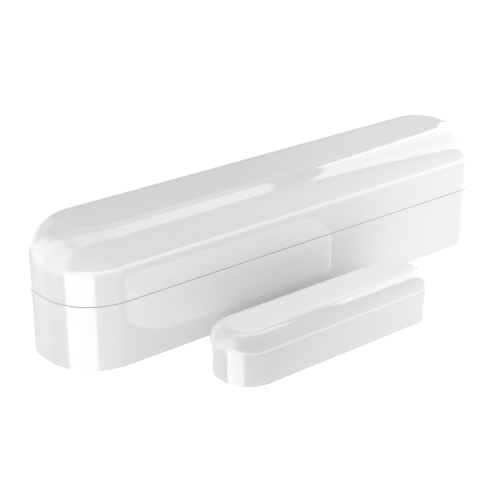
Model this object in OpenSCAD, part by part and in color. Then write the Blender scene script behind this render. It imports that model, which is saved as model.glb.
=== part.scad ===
// Door contact sensor: a wireless sensor unit and its magnet unit.
// Millimetres. +X runs along both units, +Y points away from the magnet,
// +Z points away from the mounting surface. The origin is the centre of the
// sensor unit's adhesive face.
// In names, _l, _w, _h, _t, _r and _d stand for length, width, height,
// thickness, radius and diameter.

/* [Sensor housing] */
// Length of the sensor unit
unit_l = 76; // [75:0.5:80]
// Width of the sensor unit
unit_w = 17; // [17:0.1:18]
// Plan radius of the corners of the sensor unit
unit_r = 7.64; // [7.2:0.02:8]
// Height of the sensor unit's housing, without the adhesive pad
unit_h = 18; // [18:0.25:20]
// Radius of the rounded upper edge of the cover
edge_r = 5.2; // [4.6:0.1:5.8]
// Height of the parting line above the housing's underside
seam_h = 9.2; // [9.1:0.05:9.6]
// Visible gap at the parting line
seam_gap = 0.12; // [0.06:0.02:0.2]
// Wall thickness of the sensor housing
wall = 1.15; // [1.1:0.05:1.15]
// Floor thickness of the sensor housing
floor_t = 1.3; // [1.2:0.1:1.4]

/* [Adhesive pads] */
// Thickness of the foam adhesive pads
pad_t = 0.8; // [0.7:0.1:1.0]
// Depth of the pocket that each pad sits in
pad_pocket = 0.5; // [0.4:0.1:0.5]

/* [Wall screws] */
// Distance between the two screw holes of the sensor unit
unit_screw_span = 66; // [65:0.5:67]
// Radius of the screw holes of the sensor unit
unit_screw_r = 1.7; // [1.5:0.1:1.9]
// Distance between the two screw holes of the magnet unit
mag_screw_span = 27.6; // [27:0.2:28]
// Radius of the screw holes of the magnet unit
mag_screw_r = 1.3; // [1.1:0.1:1.4]

/* [Magnet unit] */
// Length of the magnet unit
mag_l = 35.2; // [35:0.1:36]
// Width of the magnet unit
mag_w = 9.76; // [9.6:0.02:10.2]
// Plan radius of the corners of the magnet unit
mag_r = 4.46; // [4.2:0.02:4.6]
// Height of the magnet unit's housing, without the adhesive pad
mag_h = 6.6; // [6.5:0.1:7.4]
// Radius of the rounded upper edge of the magnet cap
mag_edge_r = 2.44; // [2.2:0.02:2.8]
// Gap between the two units when the door is shut
unit_gap = 5.2; // [3:0.1:12]
// Offset of the magnet unit along X from the middle of the sensor unit
mag_x = -5.97; // [-10:0.1:0]
// Wall thickness of the magnet cap
mag_wall = 1.0; // [0.9:0.05:1.0]

/* [Cell] */
// Diameter of the half-AA lithium cell, with its sleeve
cell_d = 14.5; // [14.3:0.1:14.5]
// Length of the cell over its nub
cell_l = 25; // [24.6:0.1:25]

/* [Circuit board] */
// Height of the underside of the board above the housing's underside
board_h = 5.7; // [5.7:0.1:6.0]
// Thickness of the board
board_t = 1.0; // [0.8:0.1:1.0]

/* [Hidden] */

seat = 0.02;                           // clearance under a seated part
cut = 1;                               // overrun of a cutter past the face it opens
round_fn = 96;

// Levels
z_low = pad_t - pad_pocket;            // underside of both housings
z_root = z_low + 1;                    // foot of posts and ribs, sunk into the floor
z_floor = z_low + floor_t;             // inside of the sensor's floor
z_seam = z_low + seam_h;               // parting line
z_top = z_low + unit_h;                // top of the sensor unit
board_z = z_low + board_h;             // underside of the board
board_top = board_z + board_t;

// Outlines are [length, width, corner radius]
function grow(outline, by) = outline + [2 * by, 2 * by, by];
unit_outline = [unit_l, unit_w, unit_r];
unit_inner = grow(unit_outline, -wall);
mag_outline = [mag_l, mag_w, mag_r];
mag_inner = grow(mag_outline, -mag_wall);
unit_pad = [57.6, 11.8, 1.8];
mag_pad = [22.6, 5.2, 0.8];
pad_gap = 0.2;                         // gap round a pad in its pocket

// Housing details
lip_t = 0.5;                           // thickness of the upstanding lip
lip_h = 1.16;                          // its height over the parting line
lip_gap = 0.08;
roof_t = 1.3;                          // thickness of the cover's roof
rib_t = 1;                             // thickness of the ribs at cell and magnet
cradle_rib_x = [9, 23];                // low X face of each rib under the cell
cover_rib_x = [11, 21];                // low X face of each rib over the cell

// Board and the parts on it
board_x = [-30, 0.8];
board_w = 13;
board_bevel = 1.4;                     // side of the square that cuts each bevel
screws = [[-28.3, 5.0], [-0.9, 5.0]];  // board screws
rests = [[-28.3, -5.0], [-9, -5.6]];   // plain board rests
shield_x = [-8.8, -2.6];
shield_y = [-2.6, 3.8];
shield_t = 0.2;
controller = [-12.3, -0.6];
crystal_at = [-5.8, 5.6];
led = [-15.6, -0.6];
learn = [-20.8, -4.0];
chip_size = [1.0, 0.5];
term_x0 = -24.6;
term_pitch = 2.54;
term_n = 3;
antenna_r = 1.9;
antenna_wire_r = 0.25;

// Reed switch
reed_x = -9;                           // middle of the glass
reed_y = -5.2;
reed_z = board_top + 1.3;
reed_axis = [reed_y, reed_z];
reed_len = 12;
reed_end = 0.9;                        // thickness of the glass at each end
reed_lead_x = [-16.6, -1.4];
reed_lead_r = 0.25;
blade_w = 1;

// Cell and contacts
cell_x0 = 4.3;                         // negative end of the cell
cell_x1 = cell_x0 + cell_l;
cell_nub = 1.0;
cell_shoulder = cell_x1 - cell_nub;    // flat positive end round the nub
cell_r = cell_d / 2;
cell_z = z_floor + 0.2 + cell_r;
cell_axis = [0, cell_z];
plate_t = 0.3;
positive_x0 = cell_x1 + 0.1;           // inner face of the positive plate
positive_x1 = positive_x0 + plate_t;
strap_y1 = 6.95;                       // outer face of the strap beside the cell
tab_top = board_top + seat + plate_t;  // top of the contact tabs on the board

// Tamper switch
tamper = [-12, 0];
plunger_collar_r = 2.3;

// Magnet
mag_place = [mag_x, -(unit_w / 2 + unit_gap + mag_w / 2), 0];
mag_top = z_low + mag_h;
magnet_size = [20, 4.7];
magnet_top = z_low + 4.5;
mag_base_t = 1.5;

// ---------- shared shapes ----------
// x, y and z ranges are [from, to]; places and sizes are [x, y]

function over(level, from, to) = [level + from, level + to];
function about(middle, size) = over(middle, -size / 2, size / 2);
function on_board(height) = over(board_top, seat, height);

// Rectangle with round corners
module plan(outline) {
  length = outline[0];
  width = outline[1];
  r = outline[2];
  square([length - 2 * r, width], center = true);
  square([length, width - 2 * r], center = true);
  for (sx = [-1, 1], sy = [-1, 1])
    translate([sx * (length / 2 - r), sy * (width / 2 - r)]) circle(r, $fn = round_fn);
}

module block(outline, z)
  translate([0, 0, z[0]]) linear_extrude(z[1] - z[0]) plan(outline);

// Upright section with both upper edges rounded
module section(width, z, edge) intersection() {
  union() {
    translate([-width / 2, z[0]]) square([width, z[1] - edge - z[0]]);
    translate([-width / 2 + edge, z[0]]) square([width - 2 * edge, z[1] - z[0]]);
    for (side = [-1, 1])
      translate([side * (width / 2 - edge), z[1] - edge]) circle(edge, $fn = round_fn);
  }
  translate([-width / 2, z[0]]) square([width, z[1] - z[0]]);
}

// Solid with round plan corners and one rounded upper edge all round
module dome(outline, z, edge) {
  r = outline[2];
  x = outline[0] / 2 - r;
  y = outline[1] / 2 - r;
  union() {
    translate([-x, 0, 0]) rotate([90, 0, 90])
      linear_extrude(2 * x) section(outline[1], z, edge);
    translate([0, y, 0]) rotate([90, 0, 0])
      linear_extrude(2 * y) section(outline[0], z, edge);
    // corners: [x side, y side, turn]
    for (corner = [[1, 1, 0], [-1, 1, 90], [-1, -1, 180], [1, -1, 270]])
      translate([corner[0] * x, corner[1] * y, 0]) rotate([0, 0, corner[2]])
        rotate_extrude(angle = 90, $fn = round_fn) intersection() {
          section(2 * r, z, edge);
          translate([0, z[0]]) square([r, z[1] - z[0]]);
        }
  }
}

module bar(x, y, z)
  translate([x[0], y[0], z[0]]) cube([x[1] - x[0], y[1] - y[0], z[1] - z[0]]);

// Bar centred on a place in plan
module slab(at, size, z) bar(about(at[0], size[0]), about(at[1], size[1]), z);

module post(at, z, r)
  translate([at[0], at[1], z[0]]) cylinder(h = z[1] - z[0], r = r, $fn = 48);

// Rod along X; axis is [y, z]
module rod_x(x, axis, r)
  translate([x[0], axis[0], axis[1]]) rotate([0, 90, 0])
    cylinder(h = x[1] - x[0], r = r, $fn = 64);

// Cutter for a screwdriver slot, open upwards from z
module slot(at, z, length, angle)
  translate([at[0], at[1], z]) rotate([0, 0, angle])
    translate([-length / 2, -0.15, 0]) cube([length, 0.3, 1]);

// Coil of round wire that rises along +Z from radius start_r to end_r.
// Rings of points stand across the wire, one at each step of the helix.
module coil(start_r, end_r, rise, turns, wire_r, per_turn, ring) {
  steps = round(turns * per_turn);
  points = [for (i = [0:steps])
    let (t = i / steps, turn = 360 * turns * t, r = start_r + (end_r - start_r) * t)
    for (k = [0:ring - 1])
      let (angle = 360 * k / ring, reach = r + wire_r * cos(angle))
      [reach * cos(turn), reach * sin(turn), rise * t + wire_r * sin(angle)]];
  sides = [for (i = [0:steps - 1], k = [0:ring - 1])
    let (next = (k + 1) % ring, low = i * ring, high = low + ring)
    [low + k, low + next, high + next, high + k]];
  ends = [[for (k = [0:ring - 1]) ring - 1 - k],
          [for (k = [0:ring - 1]) steps * ring + k]];
  polyhedron(points = points, faces = concat(sides, ends), convexity = 10);
}

// ---------- sensor housing ----------

// Lower shell: floor, walls, lip, board posts, cell cradle and screw holes
module base_housing() color("white") difference() {
  union() {
    difference() {
      union() {
        block(unit_outline, [z_low, z_seam - seam_gap / 2]);
        block(grow(unit_inner, lip_t), over(z_seam, -seam_gap / 2, lip_h));
      }
      block(unit_inner, [z_floor, z_top]);
    }
    for (at = screws) post(at, [z_root, board_z - seat], 1.55);
    for (at = rests) post(at, [z_root, board_z - seat], 1.3);
    // guide sleeve round the tamper plunger
    post(tamper, [z_root, z_floor + 1.4], 3.5);
    // partition between the board and the cell
    bar([1.1, 1.9], [-unit_inner[1] / 2 - 0.3, 6.4], [z_root, board_z - 0.2]);
    // support behind the positive contact
    bar(over(positive_x1, 0.1, 1.1), [-4.5, 4.5], [z_root, z_low + 8.8]);
    // cradle ribs under the cell
    for (x = cradle_rib_x) bar([x, x + rib_t], [-6.2, 6.2], [z_root, z_floor + 3]);
  }
  for (at = screws) post(at, [z_floor + 0.9, board_z + cut], 0.75);
  for (side = [-1, 1])
    post([side * unit_screw_span / 2, 0], [z_low - cut, z_floor + cut], unit_screw_r);
  block(grow(unit_pad, pad_gap), over(z_low, -cut, pad_pocket));
  // plunger hole in the floor and the wider bore of its sleeve
  post(tamper, [z_low - cut, z_floor + cut], 1.5);
  post(tamper, over(z_floor, 0, 2), 2.5);
  rod_x([cell_x0 - cut, cell_x1 + 0.2], cell_axis, cell_r + 0.05);
  // nail slot in the +Y side, just under the parting line
  bar([-4.5, 4.5], over(unit_w / 2, -0.55, cut), over(z_seam, -0.85, 0));
}

// Upper shell: hollow, with ribs that hold the cell down and a thin spot over the lamp
module top_cover() color("white") difference() {
  dome(unit_outline, [z_seam + seam_gap / 2, z_top], edge_r);
  difference() {
    union() {
      dome(unit_inner, [z_seam - cut, z_top - roof_t], edge_r - wall);
      block(grow(unit_inner, lip_t + lip_gap), over(z_seam, -cut, lip_h + 0.2));
    }
    for (x = cover_rib_x) difference() {
      bar([x, x + rib_t], [-6, 6], [z_seam + 4.4, z_top]);
      rod_x([x - cut, x + rib_t + cut], cell_axis, cell_r + 0.15);
    }
  }
  post(led, [z_top - roof_t - cut, z_top - 0.6], 1.5);
}

// Foam adhesive pad with a round window for the tamper plunger
module sensor_pad() color("dimgray") difference() {
  block(unit_pad, [0, pad_t - seat]);
  post(tamper, [-cut, pad_t + cut], 2.7);
}

// ---------- electronics ----------

module circuit_board() color("darkgreen") difference() {
  through = [board_z - cut, board_top + cut];
  bar(board_x, about(0, board_w), [board_z, board_top]);
  for (at = screws) post(at, through, 0.85);
  for (x = reed_lead_x) post([x, reed_y], through, 0.35);
  // bevelled corners at the free end
  for (side = [-1, 1]) translate([board_x[0], side * board_w / 2, 0])
    rotate([0, 0, 45]) slab([0, 0], [board_bevel, board_bevel], through);
}

// Two self-tapping screws, cross slotted
module board_screws() color("silver") for (at = screws) difference() {
  union() {
    post(at, [z_floor + 1.2, board_top + seat + 0.1], 0.7);
    post(at, on_board(seat + 0.95), 1.4);
  }
  for (angle = [20, 110]) slot(at, board_top + 0.9, 1.6, angle);
}

// Folded can over the radio circuit
module radio_shield() color("silver") difference() {
  inset = [shield_t, -shield_t];
  bar(shield_x, shield_y, on_board(1.8));
  bar(shield_x + inset, shield_y + inset, over(board_top, -cut, 1.8 - shield_t));
  for (x = [-7.2, -4.2]) post([x, 2.4], over(board_top, 1, 3), 0.4);
}

// Square package with a round dimple near one corner
module microcontroller() color("#222222") difference() {
  slab(controller, [5, 5], on_board(0.87));
  post(controller + [-1.8, 1.8], over(board_top, 0.8, 2), 0.3);
}

module crystal() color("gainsboro") {
  slab(crystal_at, [3.2, 1.5], on_board(0.3));
  slab(crystal_at, [2.8, 1.2], over(board_top, 0.3, 0.75));
}

module storage_capacitor() color("silver") {
  bar([-13.1, -8.9], [2.3, 6.45], on_board(0.8));
  post([-11, 4.38], over(board_top, 0.8, 5.2), 2.0);
}

module status_led() color("honeydew") {
  slab(led, [0.8, 1.6], on_board(0.25));
  slab(led, [0.72, 1.0], over(board_top, 0.25, 0.6));
}

// Chips of one height; each place is [x, y, turn]
module chips(places, height)
  for (place = places)
    translate([place[0], place[1], board_top + seat]) rotate([0, 0, place[2]])
      slab([0, 0], chip_size, [0, height]);

module chip_capacitors() color("tan")
  chips([[-24.0, -2.0, 0], [-24.0, -3.4, 0], [-16.6, -3.4, 90], [-7.6, -3.7, 0],
         [-5.6, -3.7, 0], [-3.4, -3.7, 0], [-15.2, 3.6, 90]], height = 0.5);

module chip_resistors() color("#303030")
  chips([[-24.0, -4.8, 0], [-17.0, -1.8, 90], [-15.2, 5.4, 90], [-1.6, 2.4, 90],
         [-1.6, -3.0, 90]], height = 0.35);

// Screw terminals: housing, one clamp and one screw per way
function term_at(i) = [term_x0 + term_pitch * (i + 0.5), 3.2];

module terminal_block() color("seagreen") difference() {
  bar([term_x0, term_x0 + term_pitch * term_n], [0.2, 6.3], on_board(7));
  for (i = [0:term_n - 1]) {
    bar(about(term_at(i)[0], 1.96), [-1, 5.2], over(board_top, 0.8, 3.5));
    post(term_at(i), over(board_top, 3, 8), 1.06);
  }
}

module terminal_clamps() color("silver") for (i = [0:term_n - 1]) difference() {
  bar(about(term_at(i)[0], 1.86), [1.2, 5.1], over(board_top, 0.85, 3.4));
  bar(about(term_at(i)[0], 1.36), [0, 6], over(board_top, 1.1, 2.8));
  post(term_at(i), over(board_top, 2, 5), 0.85);
}

module terminal_screws() color("silver") for (i = [0:term_n - 1]) difference() {
  union() {
    post(term_at(i), over(board_top, 2.2, 5), 0.78);
    post(term_at(i), over(board_top, 4.6, 6.1), 0.98);
  }
  slot(term_at(i), board_top + 5.5, 2.4, 25 + 50 * i);
}

// Helical aerial lying across the free end of the board
module antenna_coil() color("goldenrod")
  translate([-27.6, -5.0, board_top + seat + antenna_r + antenna_wire_r])
    rotate([-90, 0, 0]) rotate([0, 0, 90])
      coil(start_r = antenna_r, end_r = antenna_r, rise = 7.4, turns = 7,
           wire_r = antenna_wire_r, per_turn = 24, ring = 8);

// ---------- reed switch ----------

module reed_glass() color("lightcyan", 0.5) difference() {
  rod_x(about(reed_x, reed_len), reed_axis, 1.15);
  rod_x(about(reed_x, reed_len - 2 * reed_end), reed_axis, 0.85);
  rod_x(about(reed_x, 2 * reed_len), reed_axis, reed_lead_r + 0.01);
}

// Both soldered leads and the fixed blade
module reed_leads() color("silver") {
  rod_x([reed_lead_x[0], -13.9], reed_axis, reed_lead_r);
  bar([-14.0, -8.4], about(reed_y, blade_w), over(reed_z, -0.03, 0.17));
  rod_x([-4.0, reed_lead_x[1]], reed_axis, reed_lead_r);
  for (x = reed_lead_x) {
    post([x, reed_y], [board_z - 0.5, reed_z], reed_lead_r);
    translate([x, reed_y, reed_z]) sphere(r = reed_lead_r, $fn = 32);
  }
}

// Springy blade that the magnet pulls against the fixed one
module reed_blade() color("silver")
  bar([-9.6, -4.05], about(reed_y, blade_w), over(reed_z, -0.25, -0.05));

// ---------- cell and contacts ----------

module cell_can() color("gainsboro") union() {
  rod_x([cell_x0, cell_shoulder], cell_axis, cell_r - 0.12);
  rod_x([cell_shoulder - 0.1, cell_x1], cell_axis, 2.6);
}

module cell_sleeve() color("olivedrab") difference() {
  rod_x([cell_x0, cell_shoulder + 0.15], cell_axis, cell_r);
  rod_x([cell_x0 - cut, cell_x1], cell_axis, cell_r - 0.11);
}

// Ring on the positive end, round the nub
module cell_insulator() color("white") difference() {
  rod_x(over(cell_shoulder, 0.01, 0.3), cell_axis, cell_r - 0.14);
  rod_x([cell_x1 - 2, cell_x1 + cut], cell_axis, 2.9);
}

// Conical spring pressed between the negative plate and the cell
module cell_spring() color("silver")
  translate([2.64, 0, cell_z]) rotate([0, 90, 0])
    coil(start_r = 4.2, end_r = 2.4, rise = 1.24, turns = 2.5,
         wire_r = 0.33, per_turn = 32, ring = 10);

// Upright plate and its tab on the board
module negative_contact() color("silver") {
  bar(over(1.95, 0, plate_t), [-5.2, 5.2], over(z_low, 1.7, 12.7));
  bar([-1.2, 2.0], [-1.5, 1.5], [board_top + seat, tab_top]);
}

// Upright plate, and a strap that runs back beside the cell to a tab on the board
module positive_contact() color("silver") {
  strap_y = [strap_y1 - plate_t, strap_y1];
  turned_y = [5.4, strap_y1];
  strap_z = over(z_low, 1.6, 4.6);
  tab_x = [-3.4, -2.4];
  bar([positive_x0, positive_x1], [-5.5, 5.5], over(z_low, 1.6, 13.2));
  bar([positive_x0, positive_x1], turned_y, strap_z);
  bar([tab_x[0], positive_x1], strap_y, strap_z);
  bar(tab_x, strap_y, [z_low + 4.5, tab_top]);
  bar(tab_x, turned_y, [board_top + seat, tab_top]);
}

// ---------- tamper and learn switches ----------

module tamper_switch() color("#303030") difference() {
  slab(tamper, [4.5, 4.5], over(board_z, -1.6, -seat));
  post(tamper, over(board_z, -2, -1.3), 1.0);
}

// Plunger that reaches through the floor and the pad to the mounting surface
module tamper_plunger() color("dimgray") union() {
  post(tamper, [0.05, z_floor + 1.2], 1.42);
  post(tamper, over(z_floor, 1.0, 1.5), plunger_collar_r);
  post(tamper, [z_floor + 1.4, board_z - 1.7], 0.6);
}

module tamper_spring() color("silver")
  translate([tamper[0], tamper[1], z_floor + 1.68])
    coil(start_r = 1.5, end_r = 1.5, rise = 0.94, turns = 2.5,
         wire_r = 0.14, per_turn = 24, ring = 8);

module learn_switch() color("#2b2b2b") difference() {
  slab(learn, [4.5, 3.6], on_board(1.6));
  post(learn, over(board_top, 0.85, 3), 1.16);
}

module learn_button() color("whitesmoke")
  post(learn, over(board_top, 1.15, 2.4), 1.1);

// ---------- magnet unit ----------

// Hollow cap with two ribs just above the magnet
module magnet_cap() color("white") translate(mag_place) difference() {
  dome(mag_outline, [z_low, mag_top], mag_edge_r);
  difference() {
    dome(mag_inner, [z_low - cut, mag_top - mag_wall], mag_edge_r - mag_wall);
    for (side = [-1, 1]) slab([side * 6, 0], [rib_t, 4.8], [magnet_top + 0.1, mag_top]);
  }
}

module magnet_base() color("white") translate(mag_place) difference() {
  union() {
    block(grow(mag_inner, -0.08), over(z_low, 0, mag_base_t));
    // cradle round the magnet
    difference() {
      slab([0, 0], [22, 6.4], over(z_low, mag_base_t - 0.1, 3.4));
      slab([0, 0], magnet_size + [0.2, 0.2], over(z_low, 0, 5));
    }
  }
  for (side = [-1, 1])
    post([side * mag_screw_span / 2, 0], over(z_low, -cut, 3), mag_screw_r);
  block(grow(mag_pad, pad_gap), over(z_low, -cut, pad_pocket));
}

module bar_magnet() color("silver") translate(mag_place)
  slab([0, 0], magnet_size, [z_low + mag_base_t + seat, magnet_top]);

module magnet_pad() color("dimgray") translate(mag_place)
  block(mag_pad, [0, pad_t - seat]);

base_housing();
sensor_pad();
circuit_board();
board_screws();
radio_shield();
microcontroller();
crystal();
reed_glass();
reed_leads();
reed_blade();
status_led();
chip_capacitors();
chip_resistors();
storage_capacitor();
terminal_block();
terminal_clamps();
terminal_screws();
antenna_coil();
cell_can();
cell_sleeve();
cell_insulator();
cell_spring();
negative_contact();
positive_contact();
tamper_switch();
tamper_plunger();
tamper_spring();
learn_switch();
learn_button();
top_cover();
magnet_cap();
magnet_base();
bar_magnet();
magnet_pad();
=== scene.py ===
"""Two-part magnetic contact sensor.

The sensor unit lies flat with its length along X and its plan centred on the origin; it holds a
circuit board with a reed switch, a cell and a tamper switch. The magnet unit lies beside it on
the -Y side. Lengths are millimetres unless noted; meshes are stored in metres, +Z up.
"""
import math
from collections import namedtuple
import bmesh
import bpy
from mathutils import Matrix, Vector

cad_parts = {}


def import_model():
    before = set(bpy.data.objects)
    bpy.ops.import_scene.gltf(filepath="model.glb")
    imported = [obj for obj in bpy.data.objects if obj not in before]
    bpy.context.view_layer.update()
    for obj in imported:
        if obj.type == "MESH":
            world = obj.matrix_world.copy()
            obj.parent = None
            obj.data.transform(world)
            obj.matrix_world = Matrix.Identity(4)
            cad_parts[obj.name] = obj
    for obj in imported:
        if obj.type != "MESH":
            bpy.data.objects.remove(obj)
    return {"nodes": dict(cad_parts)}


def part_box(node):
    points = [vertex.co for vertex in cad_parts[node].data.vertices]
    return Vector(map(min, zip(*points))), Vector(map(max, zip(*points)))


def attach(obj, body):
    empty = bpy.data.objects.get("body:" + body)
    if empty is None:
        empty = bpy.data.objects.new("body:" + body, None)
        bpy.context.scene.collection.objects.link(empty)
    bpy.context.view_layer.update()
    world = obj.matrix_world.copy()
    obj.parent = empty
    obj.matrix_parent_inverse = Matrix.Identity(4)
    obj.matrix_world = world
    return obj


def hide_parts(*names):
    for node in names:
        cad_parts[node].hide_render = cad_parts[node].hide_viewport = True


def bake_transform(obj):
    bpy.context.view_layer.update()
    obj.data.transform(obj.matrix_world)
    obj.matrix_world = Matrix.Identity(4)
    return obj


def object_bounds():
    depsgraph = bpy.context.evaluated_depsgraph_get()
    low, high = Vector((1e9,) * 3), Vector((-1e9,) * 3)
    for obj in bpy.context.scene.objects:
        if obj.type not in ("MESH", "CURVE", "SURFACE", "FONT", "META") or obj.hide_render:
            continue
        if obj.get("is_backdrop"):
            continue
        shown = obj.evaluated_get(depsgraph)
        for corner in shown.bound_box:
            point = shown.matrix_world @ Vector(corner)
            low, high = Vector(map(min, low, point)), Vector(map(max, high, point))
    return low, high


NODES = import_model()["nodes"]
cad_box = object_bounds()
MM = 0.001
SIGNS = (-1, 1)
CORNERS = [(s, t) for s in SIGNS for t in SIGNS]


class Box(namedtuple("Box", "x0 y0 z0 x1 y1 z1")):
    """Extents of a piece."""
    cx = property(lambda b: (b.x0 + b.x1) / 2)
    cy = property(lambda b: (b.y0 + b.y1) / 2)
    cz = property(lambda b: (b.z0 + b.z1) / 2)
    length = property(lambda b: b.x1 - b.x0)
    width = property(lambda b: b.y1 - b.y0)
    height = property(lambda b: b.z1 - b.z0)


class Plan(namedtuple("Plan", "length width radius cx cy", defaults=(0.0, 0.0))):
    """Rounded rectangle seen from above."""
    def inset(self, point):
        """How far a point lies inside the outline."""
        qx = abs(point.x - self.cx) - (self.length / 2 - self.radius)
        qy = abs(point.y - self.cy) - (self.width / 2 - self.radius)
        return self.radius - (math.hypot(max(qx, 0), max(qy, 0)) + min(max(qx, qy), 0))


def box_of(node):
    lo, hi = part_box(node)
    return Box(*(v / MM for v in (*lo, *hi)))


def islands(node):
    """Box of every separate solid of a CAD node, ordered by place."""
    bm = bmesh.new()
    bm.from_mesh(NODES[node].data)
    bmesh.ops.remove_doubles(bm, verts=bm.verts, dist=1e-7)
    seen, boxes = set(), []
    for first in bm.verts:
        if first in seen:
            continue
        stack, points = [first], []
        seen.add(first)
        while stack:
            vert = stack.pop()
            points.append(vert.co.copy())
            for edge in vert.link_edges:
                other = edge.other_vert(vert)
                if other not in seen:
                    seen.add(other)
                    stack.append(other)
        boxes.append(Box(*(pick(p[i] for p in points) / MM for pick in (min, max) for i in range(3))))
    bm.free()
    return sorted(boxes, key=lambda b: (round(b.x0, 2), round(b.y0, 2)))


# ------------------------------------------------------------------ driving sizes
BASE, COVER, CAP = box_of("base_housing"), box_of("top_cover"), box_of("magnet_cap")
UNIT_PLAN = Plan(BASE.length, BASE.width, 7.64)
UNIT_FILLET, WALL, ROOF = 5.2, 1.15, 1.3
CAP_PLAN = Plan(CAP.length, CAP.width, 4.46, CAP.cx, CAP.cy)
CAP_FILLET, CAP_WALL = 2.44, 1.0
WALL_TOP = COVER.z0 - 0.10          # top of the lower shell's outer wall, a joint below the cover
FLOOR = 1.6                         # inner floor of the lower shell
ROOT = 1.0                          # where posts and ribs start, inside that floor

BOARD = box_of("circuit_board")
TOP = BOARD.z1                      # component side of the board
CELL = box_of("cell_can")
CELL_Z = CELL.cz                    # the cell's axis runs along X at y = 0
CELL_R = CELL.height / 2 + 0.12     # over the sleeve
PLUNGER = box_of("tamper_plunger")
TX, TY = PLUNGER.cx, PLUNGER.cy     # upright axis of the tamper plunger
SCREW_BOXES = islands("board_screws")
SCREWS = [(b.cx, b.cy) for b in SCREW_BOXES]
LED = box_of("status_led")


# ------------------------------------------------------------------ mesh helpers
def add_object(name, mesh):
    ob = bpy.data.objects.new(name, mesh)
    bpy.context.scene.collection.objects.link(ob)
    return ob


def new_object(name, verts, faces):
    mesh = bpy.data.meshes.new(name)
    mesh.from_pydata([(x * MM, y * MM, z * MM) for x, y, z in verts], [], faces)
    mesh.validate()
    return add_object(name, mesh)


def turn_outward(bm):
    bmesh.ops.recalc_face_normals(bm, faces=bm.faces)
    if bm.calc_volume(signed=True) < 0:
        bmesh.ops.reverse_faces(bm, faces=bm.faces)


def from_bm(name, bm):
    for v in bm.verts:
        v.co *= MM
    turn_outward(bm)
    mesh = bpy.data.meshes.new(name)
    bm.to_mesh(mesh)
    bm.free()
    return add_object(name, mesh)


def half_outline(plan, arc, step):
    """The +Y half of a plan outline from its +X end to its -X end: (x, y, nx, ny)."""
    L, W, R = plan.length, plan.width, plan.radius
    points = []
    for i in range(arc + 1):
        a = math.pi / 2 * i / arc
        c, s = math.cos(a), math.sin(a)
        points.append((L / 2 - R + R * c, W / 2 - R + R * s, c, s))
    left = [(-x, y, -nx, ny) for x, y, nx, ny in reversed(points)]
    n = max(1, round((L - 2 * R) / step))
    points += [(L / 2 - R - (L - 2 * R) * i / n, W / 2, 0.0, 1.0) for i in range(1, n)]
    return points + left


def ring_shell(plan, profile, arc=40, step=2.0, name="part"):
    """Closed solid: the plan outline inset by d at height z, for each (d, z) of the profile."""
    half = half_outline(plan, arc, step)
    ring = half + [(x, -y, nx, -ny) for x, y, nx, ny in reversed(half)]
    n = len(ring)
    verts = [(plan.cx + x - d * nx, plan.cy + y - d * ny, z)
             for d, z in profile for x, y, nx, ny in ring]
    faces = []
    for k in range(len(profile) - 1):
        for i in range(n):
            j = (i + 1) % n
            faces.append((k * n + i, (k + 1) * n + i, (k + 1) * n + j, k * n + j))
    caps = [(i, i + 1, n - 2 - i, n - 1 - i) for i in range(len(half) - 1)]
    last = (len(profile) - 1) * n
    faces += caps + [tuple(last + v for v in reversed(quad)) for quad in caps]
    ob = new_object(name, verts, faces)
    bm = bmesh.new()
    bm.from_mesh(ob.data)
    turn_outward(bm)
    bm.to_mesh(ob.data)
    bm.free()
    return ob


def arc_pts(dc, zc, r, a0, a1, n):
    """Profile points round (dc, zc); 0 degrees points out of the shell (smaller d), 90 up."""
    angles = [math.radians(a0 + (a1 - a0) * i / n) for i in range(n + 1)]
    return [(dc - r * math.cos(a), zc + r * math.sin(a)) for a in angles]


def rbox(x0, y0, z0, x1, y1, z1, r=0.08, seg=2, only=None, name="part"):
    """Block with rounded edges; only="z" rounds the edges that leave the z planes flat."""
    bm = bmesh.new()
    bmesh.ops.create_cube(bm, size=1.0)
    for v in bm.verts:
        v.co = Vector((x0 + (v.co.x + 0.5) * (x1 - x0), y0 + (v.co.y + 0.5) * (y1 - y0),
                       z0 + (v.co.z + 0.5) * (z1 - z0)))
    edges = list(bm.edges)
    if only:
        i = "xyz".index(only)
        edges = [e for e in edges if abs((e.verts[0].co - e.verts[1].co)[i]) > 1e-6]
    else:
        r = min(r, 0.45 * min(x1 - x0, y1 - y0, z1 - z0))
    bmesh.ops.bevel(bm, geom=edges, offset=r, segments=seg, profile=0.5, affect="EDGES")
    return from_bm(name, bm)


def skin(bm, a, b):
    """Faces between two rings of vertices; a ring of one vertex is a point."""
    n = max(len(a), len(b))
    for i in range(n):
        j = (i + 1) % n
        if len(a) == 1:
            bm.faces.new((a[0], b[i], b[j]))
        elif len(b) == 1:
            bm.faces.new((a[i], a[j], b[0]))
        else:
            bm.faces.new((a[i], a[j], b[j], b[i]))


def lathe(profile, at=(0, 0, 0), seg=40, axis="z", closed=False, name="part"):
    """Turned piece from (radius, height) points; closed joins the last point to the first."""
    bm = bmesh.new()

    def turned(r, h, a):
        c, s = r * math.cos(a), r * math.sin(a)
        return Vector({"z": (c, s, h), "x": (h, c, s)}[axis]) + Vector(at)

    rings = [[bm.verts.new(turned(r, h, 2 * math.pi * i / seg)) for i in range(seg if r else 1)]
             for r, h in profile]
    for a, b in zip(rings, rings[1:]):
        skin(bm, a, b)
    if closed:
        skin(bm, rings[-1], rings[0])
    else:
        for ring in (rings[0], rings[-1]):
            if len(ring) > 1:
                bm.faces.new(ring)
    return from_bm(name, bm)


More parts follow.
